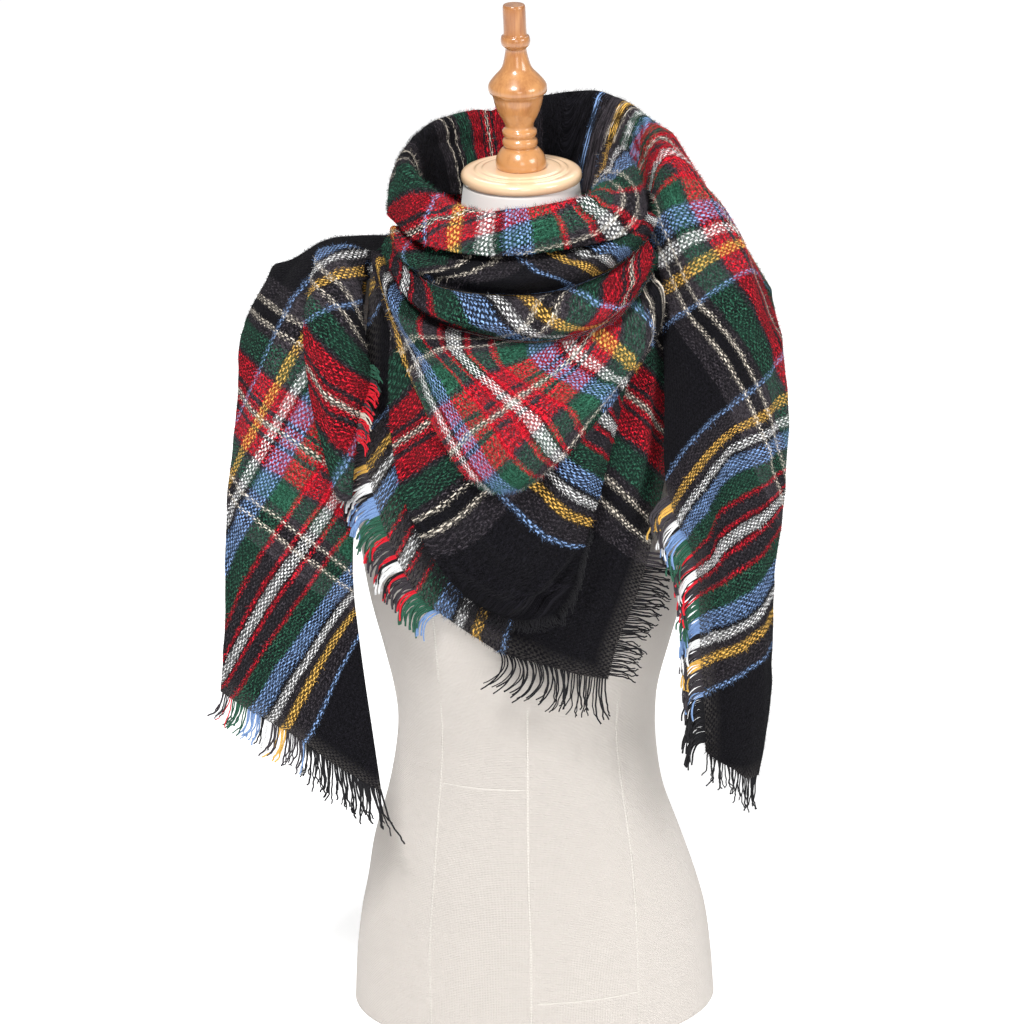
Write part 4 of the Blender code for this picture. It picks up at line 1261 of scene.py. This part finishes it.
def make_form():
    """The linen body with its seams, and the turned cap and finial."""
    settle(form_cover(), linen_material(), "linen", "form_torso")
    points, faces = joined([seam(line) for line in FORM_SEAMS])
    settle(make_mesh("form_seams", points, faces), thread_material(), "linen")
    cap = lathe("cap_turned", DISC_PROFILE, 0.0)
    pale_beech = wood_material("beech_cap", linear(244, 208, 168), linear(216, 163, 110))
    settle(cap, pale_beech, "wood", "neck_cap")
    finial = lathe("finial_turned", FINIAL_PROFILE, FINIAL_LEAN)
    dark_beech = wood_material("beech_finial", linear(198, 140, 84), linear(148, 88, 44))
    settle(finial, dark_beech, "wood", "finial")


def make_scarf():
    """The cloths, their fringes and their loose fibres."""
    woven, fibres = tartan_material(), nap_material()
    yarns = {True: yarn_material("warp_yarns", True), False: yarn_material("weft_yarns", False)}
    for cloth in CLOTHS:
        grid = cloth_grid(cloth)
        piece = shell(cloth.name, *grid)
        settle(piece, woven, "tartan_wool", *cloth.nodes)
        fuzz = nap(cloth.name + "_nap", *grid, cloth.seed)
        settle(fuzz, fibres, "tartan_wool")
        for row in FRINGES:
            if row.cloth == cloth.name:
                loose = fringe(row.node.replace("fringe", "yarns"), row, grid)
                settle(loose, yarns[row.warp], "fringe_wool", *([row.node] if row.hides else []))


def make_light(name, place, size, power):
    """A soft square area light that points at the middle of the object."""
    lamp = bpy.data.lights.new(name, "AREA")
    lamp.size, lamp.energy = size, power
    holder = bpy.data.objects.new(name, lamp)
    holder.location = place
    aim = Vector(LOOK_AT) - Vector(place)
    holder.rotation_euler = aim.to_track_quat("-Z", "Y").to_euler()
    bpy.context.scene.collection.objects.link(holder)


def make_studio():
    """A pale floor, an even white sky, soft lights and the camera."""
    corners = [(x * FLOOR_REACH, y * FLOOR_REACH, 0.0) for x, y in ((-1, -1), (1, -1), (1, 1), (-1, 1))]
    mesh = bpy.data.meshes.new("floor")
    mesh.from_pydata(corners, [], [(0, 1, 2, 3)])
    floor = bpy.data.objects.new("floor", mesh)
    bpy.context.scene.collection.objects.link(floor)
    white, pale = (1.0, 1.0, 1.0, 1.0), (0.92, 0.92, 0.92, 1.0)
    glow = {"Base Color": pale, "Emission Color": white, "Emission Strength": FLOOR_GLOW}
    mesh.materials.append(new_material("floor_white", 0.9, glow)[0])
    world = bpy.data.worlds.new("studio")
    world.use_nodes = True
    sky = world.node_tree.nodes["Background"].inputs
    sky["Color"].default_value, sky["Strength"].default_value = white, SKY_STRENGTH
    scene = bpy.context.scene
    scene.world = world
    scene.view_settings.view_transform = "Standard"
    for name, light in LIGHTS.items():
        make_light(name, *light)
    lens = bpy.data.cameras.new("camera")
    lens.lens, lens.sensor_width = LENS, SENSOR
    camera = bpy.data.objects.new("camera", lens)
    back = Vector((0.0, -math.cos(ELEVATION), math.sin(ELEVATION))) * DISTANCE
    turn = Matrix.Rotation(math.pi / 2.0 - ELEVATION, 4, "X") @ Matrix.Rotation(ROLL, 4, "Z")
    camera.matrix_world = Matrix.Translation(Vector(LOOK_AT) + back) @ turn
    scene.collection.objects.link(camera)
    scene.camera = camera


make_form()
make_scarf()
make_studio()
bpy.context.view_layer.update()
